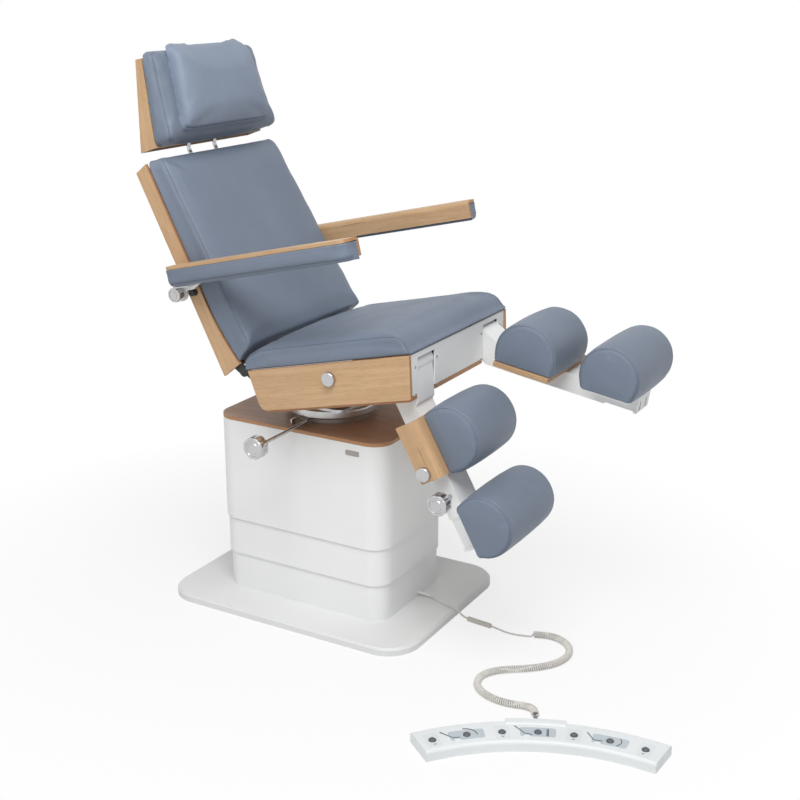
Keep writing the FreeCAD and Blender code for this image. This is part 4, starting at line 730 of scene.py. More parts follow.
def pillow_form():
    """Soft slab that narrows upwards, thickest at the neck, with a seam along its underside."""
    half_low, narrowing, foot, shift, corner_cut = 0.191, 0.1327, 1.334, -0.012, 0.014
    rings, seam = [], []
    for y_share, thick, sag, corner in refined(PILLOW_SECTIONS, 6):
        top, low = 1.559 - 0.008 * sag - corner_cut * corner, 1.331 + corner_cut * corner

        def spot(x, z):
            return Vector((x, y_share * (half_low - narrowing * (z - foot)) + shift, z))

        neck_z, high_z = 1.372 + 0.006 * corner, top - 0.031
        rear_low, rear_high = [spot(head_face(z, spot(0, z).y), z) for z in (low, top)]
        neck = spot(head_face(neck_z) + thick * 0.041, neck_z)
        high = spot(head_face(high_z) + thick * 0.044, high_z)
        ring = [rear_high.lerp(rear_low, share) for share in np.linspace(0, 1, 19)]
        front = bowed(rear_low, neck, Vector((0.006, 0, -0.01)), 13)
        front += bowed(neck, high, Vector((0.004, 0, 0)), 13)
        front += bowed(high, rear_high, Vector((0.004, 0, 0.005)), 13)
        rings.append([tuple(point) for point in ring + front[:-1]])
        if abs(y_share) < 0.96:
            seam.append(tuple(front[3]))
    return {"rings": rings, "base": 19, "seams": {"under": seam}}


def arm_pad_form():
    """Block under the bentwood, rounded at its lower edge and ends."""
    inner, outer, low, high = 0.3006, 0.356, 0.981, 1.0284
    rear, front, corner, edge = -0.068, 0.518, 0.027, 0.012
    rings, seam = [], []
    spots = [rear] + [rear + corner * (1 - math.cos(angle)) for angle in np.linspace(0.2, math.pi / 2, 7)]
    spots += [rear + corner + share * (front - rear - 2 * corner) for share in np.linspace(0, 1, 30)[1:-1]]
    spots += [front - corner * (1 - math.cos(angle)) for angle in np.linspace(math.pi / 2, 0.2, 7)] + [front]
    for along in spots:
        to_end = min(along - rear, front - along)
        cut = corner - math.sqrt(max(0.0, corner * corner - max(0.0, corner - to_end) ** 2))
        side = outer - cut
        ring = [(along, inner, low + share * (high - low)) for share in np.linspace(0, 1, 9)]
        ring += [(along, inner + share * (side - inner), high) for share in np.linspace(0, 1, 9)[1:]]
        ring += [(along, side, high - share * (high - low - edge)) for share in np.linspace(0, 1, 7)[1:]]
        ring += [(along, side - edge * (1 - math.cos(angle)), low + edge * (1 - math.sin(angle)))
                 for angle in np.linspace(0.3, math.pi / 2, 5)]
        ring += [(along, side - edge - share * (side - edge - inner), low)
                 for share in np.linspace(0, 1, 7)[1:-1]]
        rings.append(ring)
        seam.append((along, side - 0.002, low + 0.008))
    return {"rings": rings, "base": 17, "seams": {"low": seam}}


def round_pad_form(centre, radius, rise, inner, outer, base):
    """Half-round pad across the leg with drawn-in ends and a seam round each end."""
    rings, seams = [], {}
    for share, draw in refined(ROUND_PAD_SECTIONS, 5):
        y, size = inner + share * (outer - inner), radius - draw * 0.005
        reach = math.sqrt(size * size - rise * rise)
        start = math.atan2(-rise, reach)
        ring = [(centre + reach * part, y, base) for part in np.linspace(1, -1, 15)]
        angles = np.linspace(math.pi - start, start, 41)[1:-1]
        arc = [(centre + size * math.cos(angle), y, base + rise + size * math.sin(angle)) for angle in angles]
        rings.append(ring + arc)
        if share in (0, 1):
            seams["inner" if share == 0 else "outer"] = [ring[-1]] + arc + [ring[0]]
    return {"rings": rings, "base": 15, "seams": seams}


def base_of(form):
    """Finder for the part of the form that rests on its board."""
    count = form["base"]
    points = [point for ring in form["rings"] for point in ring[:count]]
    faces = []
    for row in range(len(form["rings"]) - 1):
        for step in range(count - 1):
            here = row * count + step
            faces.append((here, here + 1, here + 1 + count, here + count))
    return BVHTree.FromPolygons(points, faces)


def eased(points, edges, free, rounds):
    """Points drawn towards their neighbours, as a cover rounds a foam block."""
    count = np.bincount(edges.ravel(), minlength=len(points))[:, None]
    for _ in range(rounds):
        total = np.zeros_like(points)
        np.add.at(total, edges[:, 0], points[edges[:, 1]])
        np.add.at(total, edges[:, 1], points[edges[:, 0]])
        points = points + 0.5 * free[:, None] * (total / count - points)
    return points


def filled(piece, held):
    """Fill the cover with a cloth simulation and return its points."""
    scene = bpy.context.scene
    group = piece.vertex_groups.new(name="held")
    group.add([int(index) for index in held], 1.0, "REPLACE")
    cover = piece.modifiers.new("cover", "CLOTH")
    settings = cover.settings
    settings.quality = 4
    settings.mass = 0.3
    settings.tension_stiffness = 18
    settings.compression_stiffness = 12
    settings.shear_stiffness = 8
    settings.bending_stiffness = 4
    settings.use_pressure = True
    settings.uniform_pressure_force = sizes().cover_pressure
    settings.vertex_group_mass = "held"
    settings.effector_weights.gravity = 0
    cover.point_cache.frame_start = 1
    cover.point_cache.frame_end = LAST_FRAME
    for number in range(1, LAST_FRAME + 1):
        scene.frame_set(number)
    result = baked_mesh(piece)
    points = coordinates(result)
    bpy.data.meshes.remove(result)
    piece.modifiers.remove(cover)
    piece.vertex_groups.remove(group)
    scene.frame_set(1)
    return points


def foam_mesh(name, form, voxel, rounds, settling):
    """Even mesh of the form, swollen under its cover and divided once."""
    rough = link(name, closed_mesh(name, form["rings"]))
    remesh = rough.modifiers.new("even", "REMESH")
    remesh.mode = "VOXEL"
    remesh.voxel_size = voxel
    mesh = baked_mesh(rough)
    rough.modifiers.remove(remesh)
    rough.data = mesh
    base = base_of(form)
    points = coordinates(mesh)
    edges = np.array([edge.vertices for edge in mesh.edges])
    away = np.array([base.find_nearest(Vector(point))[3] for point in points])
    free = np.clip((away - 0.35 * voxel) / voxel, 0, 1)
    points = eased(points, edges, free, rounds)
    set_coordinates(mesh, points)
    start = points - normals_of(mesh) * (START_SHRINK * free)[:, None]
    set_coordinates(mesh, start)
    moved = filled(rough, np.flatnonzero(free < 0.5)) - start
    reach = np.linalg.norm(moved, axis=1)
    cap = sizes().cover_movement
    moved *= np.minimum(1.0, cap / np.maximum(reach, 1e-9))[:, None]
    set_coordinates(mesh, eased(start + moved * free[:, None], edges, free, settling))
    divide = rough.modifiers.new("divide", "SUBSURF")
    divide.levels = divide.render_levels = 1
    mesh = baked_mesh(rough)
    bpy.data.objects.remove(rough)
    return mesh, base


def finder(mesh):
    return BVHTree.FromPolygons([vertex.co for vertex in mesh.vertices],
                                [tuple(polygon.vertices) for polygon in mesh.polygons])


def even_path(points, step):
    """Points at an even distance along a row of points."""
    result, carried = [Vector(points[0])], 0.0
    for start, end in zip(points, points[1:]):
        start, end = Vector(start), Vector(end)
        left = (end - start).length
        while left > 0 and carried + left >= step:
            start = start.lerp(end, (step - carried) / left)
            result.append(start)
            left = (end - start).length
            carried = 0.0
        carried += left
    return result


def on_surface(tree, points, lift=0.0):
    """Nearest spots of the surface, lifted along its normal, and the normals."""
    spots, normals = [], []
    for point in points:
        spot, normal, _, _ = tree.find_nearest(point)
        spots.append(spot + normal * lift)
        normals.append(normal)
    return spots, normals


def sew(mesh, path):
    """Pull the cover in along a seam."""
    depth, width = sizes().seam_depth, sizes().seam_width
    near = KDTree(len(path))
    for index, point in enumerate(path):
        near.insert(point, index)
    near.balance()
    points, normals = coordinates(mesh), normals_of(mesh)
    away = np.array([near.find(Vector(point))[2] for point in points])
    dip = np.exp(-(away / width) ** 2)
    swell = 0.35 * np.exp(-((away - 3 * width) / (1.6 * width)) ** 2)
    set_coordinates(mesh, points - normals * (depth * (dip - swell))[:, None])


def crumple(mesh, free_from, height, size):
    """Slack and unevenness that a sewn cover has between its seams."""
    points, normals = coordinates(mesh), normals_of(mesh)
    for index, point in enumerate(points):
        spot = Vector(point)
        share = min(1.0, max(0.0, (free_from.find_nearest(spot)[3] - 0.004) / 0.02))
        if share > 0:
            lift = height * share * noise.fractal(spot / size, 1.0, 2.0, 3)
            points[index] += normals[index] * lift
    set_coordinates(mesh, points)


def line_curve(name, points, radius, sides, kind="POLY"):
    """Curve data with one spline through the points, thick and capped."""
    curve = bpy.data.curves.new(name, "CURVE")
    curve.dimensions = "3D"
    spline = curve.splines.new(kind)
    spline.points.add(len(points) - 1)
    for target, point in zip(spline.points, points):
        target.co = (*point, 1.0)
    curve.bevel_depth = radius
    curve.bevel_resolution = sides
    curve.use_fill_caps = True
    return curve


def tube_mesh(name, points, radius, sides=2):
    """Mesh tube along points."""
    curve = line_curve(name, points, radius, sides)
    carrier = link(name, curve)
    mesh = baked_mesh(carrier)
    bpy.data.objects.remove(carrier)
    bpy.data.curves.remove(curve)
    outwards(mesh)
    smooth_shaded(mesh)
    return mesh


def new_node_tree(name, inputs, output):
    """Geometry node tree with its named inputs, and the sockets that give them."""
    tree = bpy.data.node_groups.new(name, "GeometryNodeTree")
    for label, kind in inputs.items():
        tree.interface.new_socket(label, in_out="INPUT", socket_type="NodeSocket" + kind)
    tree.interface.new_socket(output, in_out="OUTPUT", socket_type="NodeSocketGeometry")
    return tree, add_node(tree, "NodeGroupInput").outputs


def end_node_tree(tree, laid, material):
    """Make the instances real, give them their material and put them out."""
    real = add_node(tree, "GeometryNodeRealizeInstances", {"Geometry": laid.outputs["Instances"]})
    painted = add_node(tree, "GeometryNodeSetMaterial", {
        "Geometry": real.outputs["Geometry"], "Material": material})
    end = add_node(tree, "NodeGroupOutput")
    tree.links.new(painted.outputs["Geometry"], end.inputs[0])
    return tree


def varied(tree, seed, low, high):
    """Random value for each instance."""
    vary = add_node(tree, "FunctionNodeRandomValue", {"Seed": seed}, data_type="FLOAT")
    for key, value in ((2, low), (3, high)):
        if isinstance(value, bpy.types.NodeSocket):
            tree.links.new(value, vary.inputs[key])
        else:
            vary.inputs[key].default_value = value
    return vary.outputs[1]


def stitch_nodes():
    """Node tree that lays stitches along a path."""
    tree, given = new_node_tree("row_of_stitches", {
        "Path": "Geometry", "Pitch": "Float", "Stitch length": "Float", "Thread radius": "Float",
        "Seed": "Int", "Thread": "Material"}, "Stitches")
    curve = add_node(tree, "GeometryNodeMeshToCurve", {"Mesh": given["Path"]}).outputs["Curve"]
    spots = add_node(tree, "GeometryNodeCurveToPoints", mode="LENGTH")
    tree.links.new(curve, spots.inputs["Curve"])
    tree.links.new(given["Pitch"], spots.inputs["Length"])
    bead = add_node(tree, "GeometryNodeMeshUVSphere", {
        "Segments": 6, "Rings": 4, "Radius": 1.0}).outputs["Mesh"]
    size = add_node(tree, "ShaderNodeCombineXYZ", {
        "X": given["Thread radius"], "Y": given["Thread radius"],
        "Z": sum_up(tree, "MULTIPLY", given["Stitch length"], 0.5)}).outputs["Vector"]
    laid = add_node(tree, "GeometryNodeInstanceOnPoints", {
        "Points": spots.outputs["Points"], "Instance": bead, "Rotation": spots.outputs["Rotation"]})
    grown = add_node(tree, "ShaderNodeVectorMath", {0: size, "Scale": varied(tree, given["Seed"], 0.85, 1.1)},
                     operation="SCALE")
    tree.links.new(grown.outputs["Vector"], laid.inputs["Scale"])
    return end_node_tree(tree, laid, given["Thread"])


def laid_out(name, carrier_mesh, tree, inputs):
    """Mesh that a node tree makes of the carrier's mesh."""
    carrier = link(name, carrier_mesh)
    modifier = carrier.modifiers.new("repeats", "NODES")
    modifier.node_group = tree
    for item in modifier.node_group.interface.items_tree:
        if item.in_out == "INPUT" and item.name in inputs:
            modifier[item.identifier] = inputs.pop(item.name)
    if inputs:
        raise RuntimeError(f"no input named {sorted(inputs)}")
    result = baked_mesh(carrier)
    bpy.data.objects.remove(carrier)
    return result


def stitch_mesh(name, rows):
    """Stitches along rows of points."""
    points, edges = [], []
    for row in rows:
        first = len(points)
        points += [tuple(point) for point in row]
        edges += [(first + step, first + step + 1) for step in range(len(row) - 1)]
    mesh = bpy.data.meshes.new(name)
    mesh.from_pydata(points, edges, [])
    tree = bpy.data.node_groups.get("row_of_stitches") or stitch_nodes()
    result = laid_out(name, mesh, tree, {
        "Pitch": sizes().stitch_pitch, "Stitch length": sizes().stitch_length,
        "Thread radius": sizes().thread_radius, "Seed": 7, "Thread": seam_thread()})
    smooth_shaded(result)
    return result


def beside(path, normals, offset):
    """Row of points beside a path, on the surface's plane."""
    row = []
    for index, (point, normal) in enumerate(zip(path, normals)):
        along = path[min(index + 1, len(path) - 1)] - path[max(index - 1, 0)]
        side = normal.cross(along)
        if side.length > 0:
            row.append(point + side.normalized() * offset)
    return row


def upholstery(name, form, voxel, rounds, slack=0.0006, settling=2):
    """Cushion mesh with its seam cords and stitches, in the form's own frame."""
    mesh, base = foam_mesh(name, form, voxel, rounds, settling)
    crumple(mesh, base, slack, SLACK_SIZE)
    paths = []
    for seam in form["seams"].values():
        tree = finder(mesh)
        spots, _ = on_surface(tree, even_path(seam, SEAM_STEP))
        spots = [spot for spot in spots if base.find_nearest(spot)[3] > SEAM_CLEAR]
        sew(mesh, spots)
        paths.append(spots)
    tree = finder(mesh)
    cords, rows = [], []
    for index, path in enumerate(paths):
        laid, normals = on_surface(tree, path, 0.0002)
        cords.append(tube_mesh(f"{name}_seam_{index}", laid, sizes().seam_cord))
        for offset in STITCH_OFFSETS:
            row, _ = on_surface(tree, beside(laid, normals, offset), 0.0)
            rows.append([spot for spot in row if base.find_nearest(spot)[3] > STITCH_CLEAR])
    stitches = stitch_mesh(name + "_stitches", [row for row in rows if len(row) > 2])
    smooth_shaded(mesh)
    return mesh, joined(name + "_seams", cords), stitches


def joined(name, meshes):
    """One mesh of several."""
    work = bmesh.new()
    for mesh in meshes:
        work.from_mesh(mesh)
    result = bpy.data.meshes.new(name)
    work.to_mesh(result)
    work.free()
    smooth_shaded(result)
    return result


def pad_pieces(name, body, node, made, place=as_built, mirrored=False, cover=None):
    """Cushion, seams and stitches put on their body, in place of a solid."""
    mesh, seams, stitches = made
    pad = link(name, placed_mesh(mesh, name, place, mirrored))
    settle(pad, body, "vinyl", cover or vinyl(), (node,))
    for part, data in (("_seams", seams), ("_stitches", stitches)):
        piece = link(name + part, placed_mesh(data, name + part, place, mirrored))
        settle(piece, body, "vinyl", seam_thread())


def make_seat_cushion():
    made = upholstery("seat_cover", seat_form(), voxel=0.006, rounds=4, settling=3)
    pad_pieces("seat_cover", "seat", "seat_cushion", made, tilt_map(0, 0, SEAT_TILT))


def make_back_cushion():
    made = upholstery("back_cover", back_form(), voxel=0.006, rounds=4, settling=7)
    pad_pieces("back_cover", "backrest", "backrest_cushion", made, tilt_map(0, 0, BACK_LEAN))


def make_head_pads():
    made = upholstery("head_cover", head_form(), voxel=0.005, rounds=4, settling=8)
    pad_pieces("head_cover", "headrest", "headrest_cushion", made)
    made = upholstery("neck_pillow", pillow_form(), voxel=0.0045, rounds=6, slack=0.0007, settling=20)
    # The neck pillow's cover is the same vinyl painted 1.25 times lighter, a lit copy of it: painted light.
    light = finish_of("pillow_vinyl", vinyl_finish, shaded(tuple(colours().vinyl), 1.25))
    pad_pieces("neck_pillow", "headrest", "headrest_pillow", made, cover=light)


def make_arm_pads():
    made = upholstery("arm_pad", arm_pad_form(), voxel=0.0045, rounds=4)
    for side, sign in SIDES.items():
        pad_pieces("arm_pad_" + side, "armrest_" + side, "armrest_pad_" + side, made,
                   tilt_map(0, 0, SEAT_TILT, sign), sign < 0)


def make_leg_pads():
    calf = upholstery("calf_cover", round_pad_form(**CALF_PAD), voxel=0.005, rounds=3)
    foot = upholstery("foot_cover", round_pad_form(**FOOT_PAD), voxel=0.005, rounds=3)
    for side, sign in SIDES.items():
        place = tilt_map(*LEG_PIVOT, LEG_TILTS[side], sign)
        pad_pieces("calf_cover_" + side, "leg_" + side, "calf_pad_" + side, calf, place, sign < 0)
        pad_pieces("foot_cover_" + side, "leg_slide_" + side, "foot_pad_" + side, foot, place, sign < 0)


# Cords


def cord_curve(name, points, radius, detail, sides):
    """NURBS cord through its control points."""
    curve = line_curve(name, points, radius, sides, "NURBS")
    curve.splines[0].order_u = 3
    curve.splines[0].use_endpoint_u = True
    curve.resolution_u = detail
    return link(name, curve)


def middle_line(route):
    """Points read from the route's own spline."""
    carrier = cord_curve("middle_line", route, 0.0, 24, 0)
    mesh = baked_mesh(carrier)
    data = carrier.data
    bpy.data.objects.remove(carrier)
    bpy.data.curves.remove(data)
    return [vertex.co.copy() for vertex in mesh.vertices]


def curl_points():
    """Points of the curly cord's wire round its middle line."""
    reach = sizes().curl_radius - sizes().curl_wire
    line = even_path(middle_line(CURLY_CORD_ROUTE), LINE_STEP)
    total = (len(line) - 1) * LINE_STEP
    straight = CURL_LEAD + CURL_RUN_IN
    turning = total - 2 * straight
    count = sizes().curl_count * CURL_STEPS
    wider = 1 / math.cos(math.pi / CURL_STEPS)

    def spot(distance, turns, share):
        index = min(len(line) - 2, int(distance / LINE_STEP))
        along = (line[min(index + 3, len(line) - 1)] - line[max(index - 3, 0)]).normalized()
        here = line[index].lerp(line[index + 1], distance / LINE_STEP - index)
        side = Vector((0, 0, 1)).cross(along).normalized()
        up = along.cross(side)
        angle = 2 * math.pi * turns
        return here + (side * math.sin(angle) - up * math.cos(angle)) * (reach * share)

    points = [spot(0, 0, 1), spot(CURL_LEAD, 0, 1)]
    points += [spot(straight + turning * step / count, step / CURL_STEPS + 0.25, wider)
               for step in range(count + 1)]
    return points + [spot(total - CURL_LEAD, 0, 0), line[-1]]


def lay_cords():
    finish = finish_of("cord_sheath", cord_finish, tuple(colours().cord))
    thin = cord_curve("thin_cord", THIN_CORD_ROUTE, sizes().thin_cord, 10, 3)
    settle(thin, "base", "cord_grey", finish, ("pedal_cord",))
    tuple(THIN_CORD_ROUTE[0])
    points = curl_points()
    curly = cord_curve("spiral_cord", points, sizes().curl_wire, 2, 2)
    settle(curly, "base", "cord_grey", finish, ("curly_cord",))
    wire = sum((after - before).length for before, after in zip(points, points[1:]))
    tuple(points[0])


# Finishes of the solids


def paint(node, finish):
    """Give a solid's object a finish."""
    for slot in frame["nodes"][node].material_slots:
        slot.link = "OBJECT"
        slot.material = finish


def finish_wood():
    tones = (tuple(colours().oak), tuple(colours().oak_figure), tuple(colours().ply_edge))
    dark = (tuple(colours().top_board), tuple(colours().top_board_figure), tuple(colours().ply_edge))
    boards = [
        ("seat_side_oak", tones, SEAT_TILT, "Y", ["seat_side_panels"]),
        ("seat_bottom_oak", tones, SEAT_TILT, "Z", ["seat_bottom_board"]),
        ("back_side_oak", tones, BACK_LEAN - 90, "Y", ["backrest_side_panels"]),
        ("back_rear_oak", tones, BACK_LEAN - 90, "Z", ["backrest_rear_panel"]),
        ("head_oak", tones, -83.0, "X", ["headrest_shell"]),
        ("arm_oak", tones, SEAT_TILT, "X", ["armrest_wood_right", "armrest_wood_left"]),
        ("right_leg_oak", tones, LEG_TILTS["right"], "X", ["leg_board_right"]),
        ("left_leg_oak", tones, LEG_TILTS["left"], "X", ["leg_board_left"]),
        ("top_board_oak", dark, 0.0, "Z", ["pedestal_top_board"]),
    ]
    for name, colour, lean, axis, nodes in boards:
        finish = wood_finish(name, *colour, lean, axis)
        for node in nodes:
            paint(node, finish)


def paint_slots(finishes):
    """Give every solid of a slot the slot's finish."""
    for row in frame["record"]["subparts"]:
        if row["material_slot"] in finishes:
            paint(row["node"], finishes[row["material_slot"]])


def finish_metal():
    white = paint_finish("white_powder_coat", tuple(colours().white_paint))
    plate = paint_finish("plate_powder_coat", tuple(colours().plate_paint), 1.2, 0.42)
    black = paint_finish("black_frame_paint", tuple(colours().frame_paint), 1.4, 0.5)
    steel = turned_steel_finish("turned_steel", tuple(colours().steel))
    chrome = chrome_finish("polished_chrome", tuple(colours().chrome))
    paint_slots({"white_steel": white, "plate_paint": plate, "frame_steel": black,
                 "stainless": steel, "chrome": chrome})


def finish_plastic():
    housing = plastic_finish("white_moulding", tuple(colours().housing), 0.4)
    grey = plastic_finish("grey_moulding", (0.2, 0.205, 0.215), 0.5)
    dark = plastic_finish("button_moulding", tuple(colours().button), 0.45)
    cord = finish_of("cord_sheath", cord_finish, tuple(colours().cord))
    paint_slots({"white_plastic": housing, "grey_plastic": grey, "dark_plastic": dark, "cord_grey": cord})
    paint("cord_connector", plastic_finish("connector_moulding", (0.66, 0.63, 0.57), 0.45))
    paint("cable_outlets", plastic_finish("gland_moulding", (0.74, 0.74, 0.73), 0.45))


# Small fittings


def turned_mesh(name, profile, segments):
    """Solid turned round the X axis from (along, radius) points."""
    rings = []
    for along, radius in profile:
        size = max(radius, 0.00001)
        rings.append([(along, size * math.cos(2 * math.pi * step / segments),
                       size * math.sin(2 * math.pi * step / segments)) for step in range(segments)])
    mesh = closed_mesh(name, rings)
    smooth_shaded(mesh, 35)
    return mesh


def scatter_nodes():
    """Node tree that puts a fitting on each point."""
    tree, given = new_node_tree("fittings_on_points", {
        "Places": "Geometry", "Fitting": "Object", "Size": "Float", "Turn": "Float", "Seed": "Int",
        "Finish": "Material"}, "Fittings")
    shape = add_node(tree, "GeometryNodeObjectInfo", {"Object": given["Fitting"]}, transform_space="ORIGINAL")
    turn = varied(tree, given["Seed"], 0.0, given["Turn"])
    angle = add_node(tree, "ShaderNodeCombineXYZ", {"X": turn}).outputs["Vector"]
    laid = add_node(tree, "GeometryNodeInstanceOnPoints", {
        "Points": given["Places"], "Instance": shape.outputs["Geometry"], "Rotation": angle})
    tree.links.new(given["Size"], laid.inputs["Scale"])
    return end_node_tree(tree, laid, given["Finish"])


def make_front_screws():
    """Domed socket screws of the white front plate."""
    finish = chrome_finish("screw_steel", (0.5, 0.5, 0.51), 0.22)
    profile = [(0.0, 0.96), (0.12, 1.0), (0.3, 0.86), (0.42, 0.6), (0.44, 0.46), (0.2, 0.42), (0.2, 0.0)]
    head = link("screw_head", turned_mesh("screw_head", profile, 20))
    places = bpy.data.meshes.new("screw_places")
    spots = [(FRONT_PLATE_FACE, sign * y, z) for sign in SIDES.values() for y, z in SCREW_SPOTS]
    places.from_pydata(spots, [], [])
    mesh = laid_out("front_screws", places, scatter_nodes(), {
        "Fitting": head, "Size": sizes().screw_radius, "Turn": math.pi / 3, "Seed": 3, "Finish": finish})
    bpy.data.objects.remove(head)
    smooth_shaded(mesh, 35)
    settle(link("front_screws", mesh), "seat", "chrome", finish)


def plate_ring(half_long, half_wide, corner, count=64):
    """Outline of a plate with rounded corners, about its middle."""
    outline = []
    for step in range(count):
        angle = 2 * math.pi * step / count
        cosine, sine = math.cos(angle), math.sin(angle)
        outline.append((half_long * math.copysign(abs(cosine) ** corner, cosine),
                        half_wide * math.copysign(abs(sine) ** corner, sine)))
    return outline


def plate_mesh(name, outlines, place):
    """Closed plate from outlines at heights, put in place."""
    rings = [[place(x, y, height) for x, y in outline] for outline, height in outlines]
    mesh = closed_mesh(name, rings)
    smooth_shaded(mesh, 30)
    return mesh


def make_cord_boot():
    """Ribbed boot round the thin cord where it leaves the base plate."""
    line = even_path(middle_line(THIN_CORD_ROUTE), 0.001)
    profile = [(1, 0.0066), (4, 0.0069), (5, 0.0063)]
    for rib in range(7):
        size = 0.0059 - 0.00032 * rib
        profile += [(6 + 3 * rib, size), (7 + 3 * rib, size + 0.0001), (8 + 3 * rib, size - 0.0007)]
    profile += [(28, 0.0037), (29, 0.0032)]
    rings = []
    for step, size in profile:
        along = (line[step + 1] - line[step - 1]).normalized()
        side = Vector((0, 0, 1)).cross(along).normalized()
        up = along.cross(side)
        rings.append([tuple(line[step] + (side * math.cos(angle) + up * math.sin(angle)) * size)
                      for angle in np.linspace(0, 2 * math.pi, 33)[:-1]])
    mesh = closed_mesh("cord_boot", rings)
    smooth_shaded(mesh, 50)
    finish = plastic_finish("boot_moulding", (0.76, 0.76, 0.75), 0.5)
    settle(link("cord_boot", mesh), "base", "white_plastic", finish)


def fluted_ring(centre, y, radius, depth):
    """Circle in the upright plane with eight shallow flutes."""
    ring = []
    for step in range(96):
        angle = 2 * math.pi * step / 96
        off = (angle + math.pi / 8) % (math.pi / 4) - math.pi / 8
        size = radius - depth * math.exp(-(off / 0.14) ** 2)
        ring.append((centre[0] + size * math.cos(angle), y, centre[1] + size * math.sin(angle)))
    return ring


def knob_cover(name, centre, radius, head, face, side):
    """Round grip over a lobed knob, with rounded rims and a ringed face."""
    profile = [(-0.0006, 0.9, 0.5), (-0.0002, 0.97, 0.8), (0.0014, 1.0, 1.0)]
    front = [(-0.0012, 1.0, 1.0), (0.0009, 0.975, 0.8), (0.0021, 0.92, 0.4), (0.0024, 0.84, 0.0),
             (0.0022, 0.72, 0.0), (0.0006, 0.69, 0.0), (0.0005, 0.5, 0.0), (0.0015, 0.47, 0.0),
             (0.0017, 0.42, 0.0)]
    size, depth = radius * 1.018, radius * 0.055
    rings = [fluted_ring(centre, side * (start + along), size * share, depth * flute)
             for start, rows in ((head, profile), (face, front)) for along, share, flute in rows]
    mesh = closed_mesh(name, rings)
    smooth_shaded(mesh, 32)
    return mesh


def make_knob_covers():
    """Round grips of the swivel lock, the armrests and the leg slides."""
    finish = chrome_finish("knob_chrome", tuple(colours().chrome), 0.16)
    knobs = [("swivel_lock", SWIVEL_KNOB, 0.03, -1)]
    for side, sign in SIDES.items():
        knobs.append(("arm_knob_" + side, ARM_KNOB, 0.02, sign))
        place = tilt_map(*LEG_PIVOT, LEG_TILTS[side], sign)(LEG_KNOB)
        knobs.append(("leg_knob_" + side, (place.x, place.z), 0.028, sign))
    for node, centre, radius, side in knobs:
        piece = frame["nodes"][node]
        face = max(side * (piece.matrix_world @ Vector(corner)).y for corner in piece.bound_box)
        mesh = knob_cover(node + "_grip", centre, radius, face - KNOB_HEADS[radius], face, side)
        settle(link(node + "_grip", mesh), node, "chrome", finish)


def make_badge():
    """Bare raised plate on the pedestal's right side."""
    half_long, half_high = sizes().badge_length / 2, sizes().badge_height / 2
    steps = [(0, 0), (0, 0.0007), (0.0004, 0.001), (0.0015, 0.001), (0.0018, 0.0008)]
    outlines = [(plate_ring(half_long - inset, half_high - inset, 0.28), height) for inset, height in steps]

    def place(x, y, height):
        return BADGE_SPOT[0] + x, BADGE_SPOT[1] - height, BADGE_SPOT[2] + y

    mesh = plate_mesh("pedestal_badge", outlines, place)
    finish = plastic_finish("badge_enamel", (0.38, 0.35, 0.33), 0.3)
    settle(link("pedestal_badge", mesh), "lift_top", "white_plastic", finish)


def on_control(angle):
    """Place on the foot control's top, about a button: along, out and up."""

    def place(x, y, height):
        turned = math.radians(angle) - x / BUTTON_RING
        radius = BUTTON_RING + y
        return (CONTROL_CENTRE[0] + radius * math.cos(turned), CONTROL_CENTRE[1] + radius * math.sin(turned),
                CONTROL_TOP + height)

    return place


def pierced_plate(index, half_long, half_wide, shift, hole=0.0102, thickness=0.0005, count=64):
    """Plate on the foot control's top with a hole for its button."""
    place = on_control(BUTTON_ANGLES[index])
    outer = plate_ring(half_long, half_wide, 0.22, count)
    circle = [(hole * math.cos(2 * math.pi * step / count), hole * math.sin(2 * math.pi * step / count))
              for step in range(count)]
    loops = [(circle, 0.0), (circle, thickness), (outer, thickness), (outer, 0.0)]
    points = []
    for outline, height in loops:
        for x, y in outline:
            points.append(place(x, y if outline is circle else y + shift, height))
    faces = []
    for row in range(4):
        for step in range(count):
            here, there, beside_it = row * count, (row + 1) % 4 * count, (step + 1) % count
            faces.append((here + step, here + beside_it, there + beside_it, there + step))
    mesh = bpy.data.meshes.new("pierced_plate")
    mesh.from_pydata(points, [], faces)
    outwards(mesh)
    smooth_shaded(mesh, 30)
    return mesh


def arc_points(start, middle, end, count=12):
    """Smooth bow through three points."""
    return [tuple(a * (1 - share) * (1 - 2 * share) + 4 * b * share * (1 - share)
                  - c * share * (1 - 2 * share) for a, b, c in zip(start, middle, end))
            for share in np.linspace(0, 1, count)]


def drawn_line(angle, points, radius):
    """Raised line on the foot control, through points about a button."""
    place = on_control(angle)
    laid = even_path([Vector(place(x, y, 0.0006)) for x, y in points], 0.0015)
    return tube_mesh("drawn_line", laid, radius, 1)


# Line signs of the foot control, by their button
CONTROL_SIGNS = {
    1: [[(-0.058, 0.025), (-0.036, -0.005), (-0.017, -0.008)],
        arc_points((-0.004, 0.0255), (0.017, 0.017), (0.0255, -0.004))],
    3: [[(-0.053, 0.026), (-0.031, -0.006), (-0.0125, -0.012)], [(0.0215, 0.014), (0.0215, -0.016)],
        [(0.0245, 0.014), (0.0245, -0.016)]],
    5: [[(-0.056, 0.02), (-0.037, -0.008), (-0.016, -0.006)],
        arc_points((0.021, 0.0155), (0.0265, 0.001), (0.018, -0.0165))],
}
SIGN_LINE = 0.0011
SIGN_THIN_LINE = 0.0007
# Blocks of a sign: along, out and size; rise of the small arrows by their button
SIGN_BLOCKS = [(-0.027, -0.0195, 1.0), (0.0225, -0.0225, 0.55)]
ARROW_RISES = {0: 0.002, 2: -0.002, 4: 0.002, 6: -0.002}
# Half length, half width and shift of the plates about a button
SMALL_PLATE = (0.0175, 0.0285, -0.0005)
WIDE_FIELD = (0.0425, 0.019, 0.001)


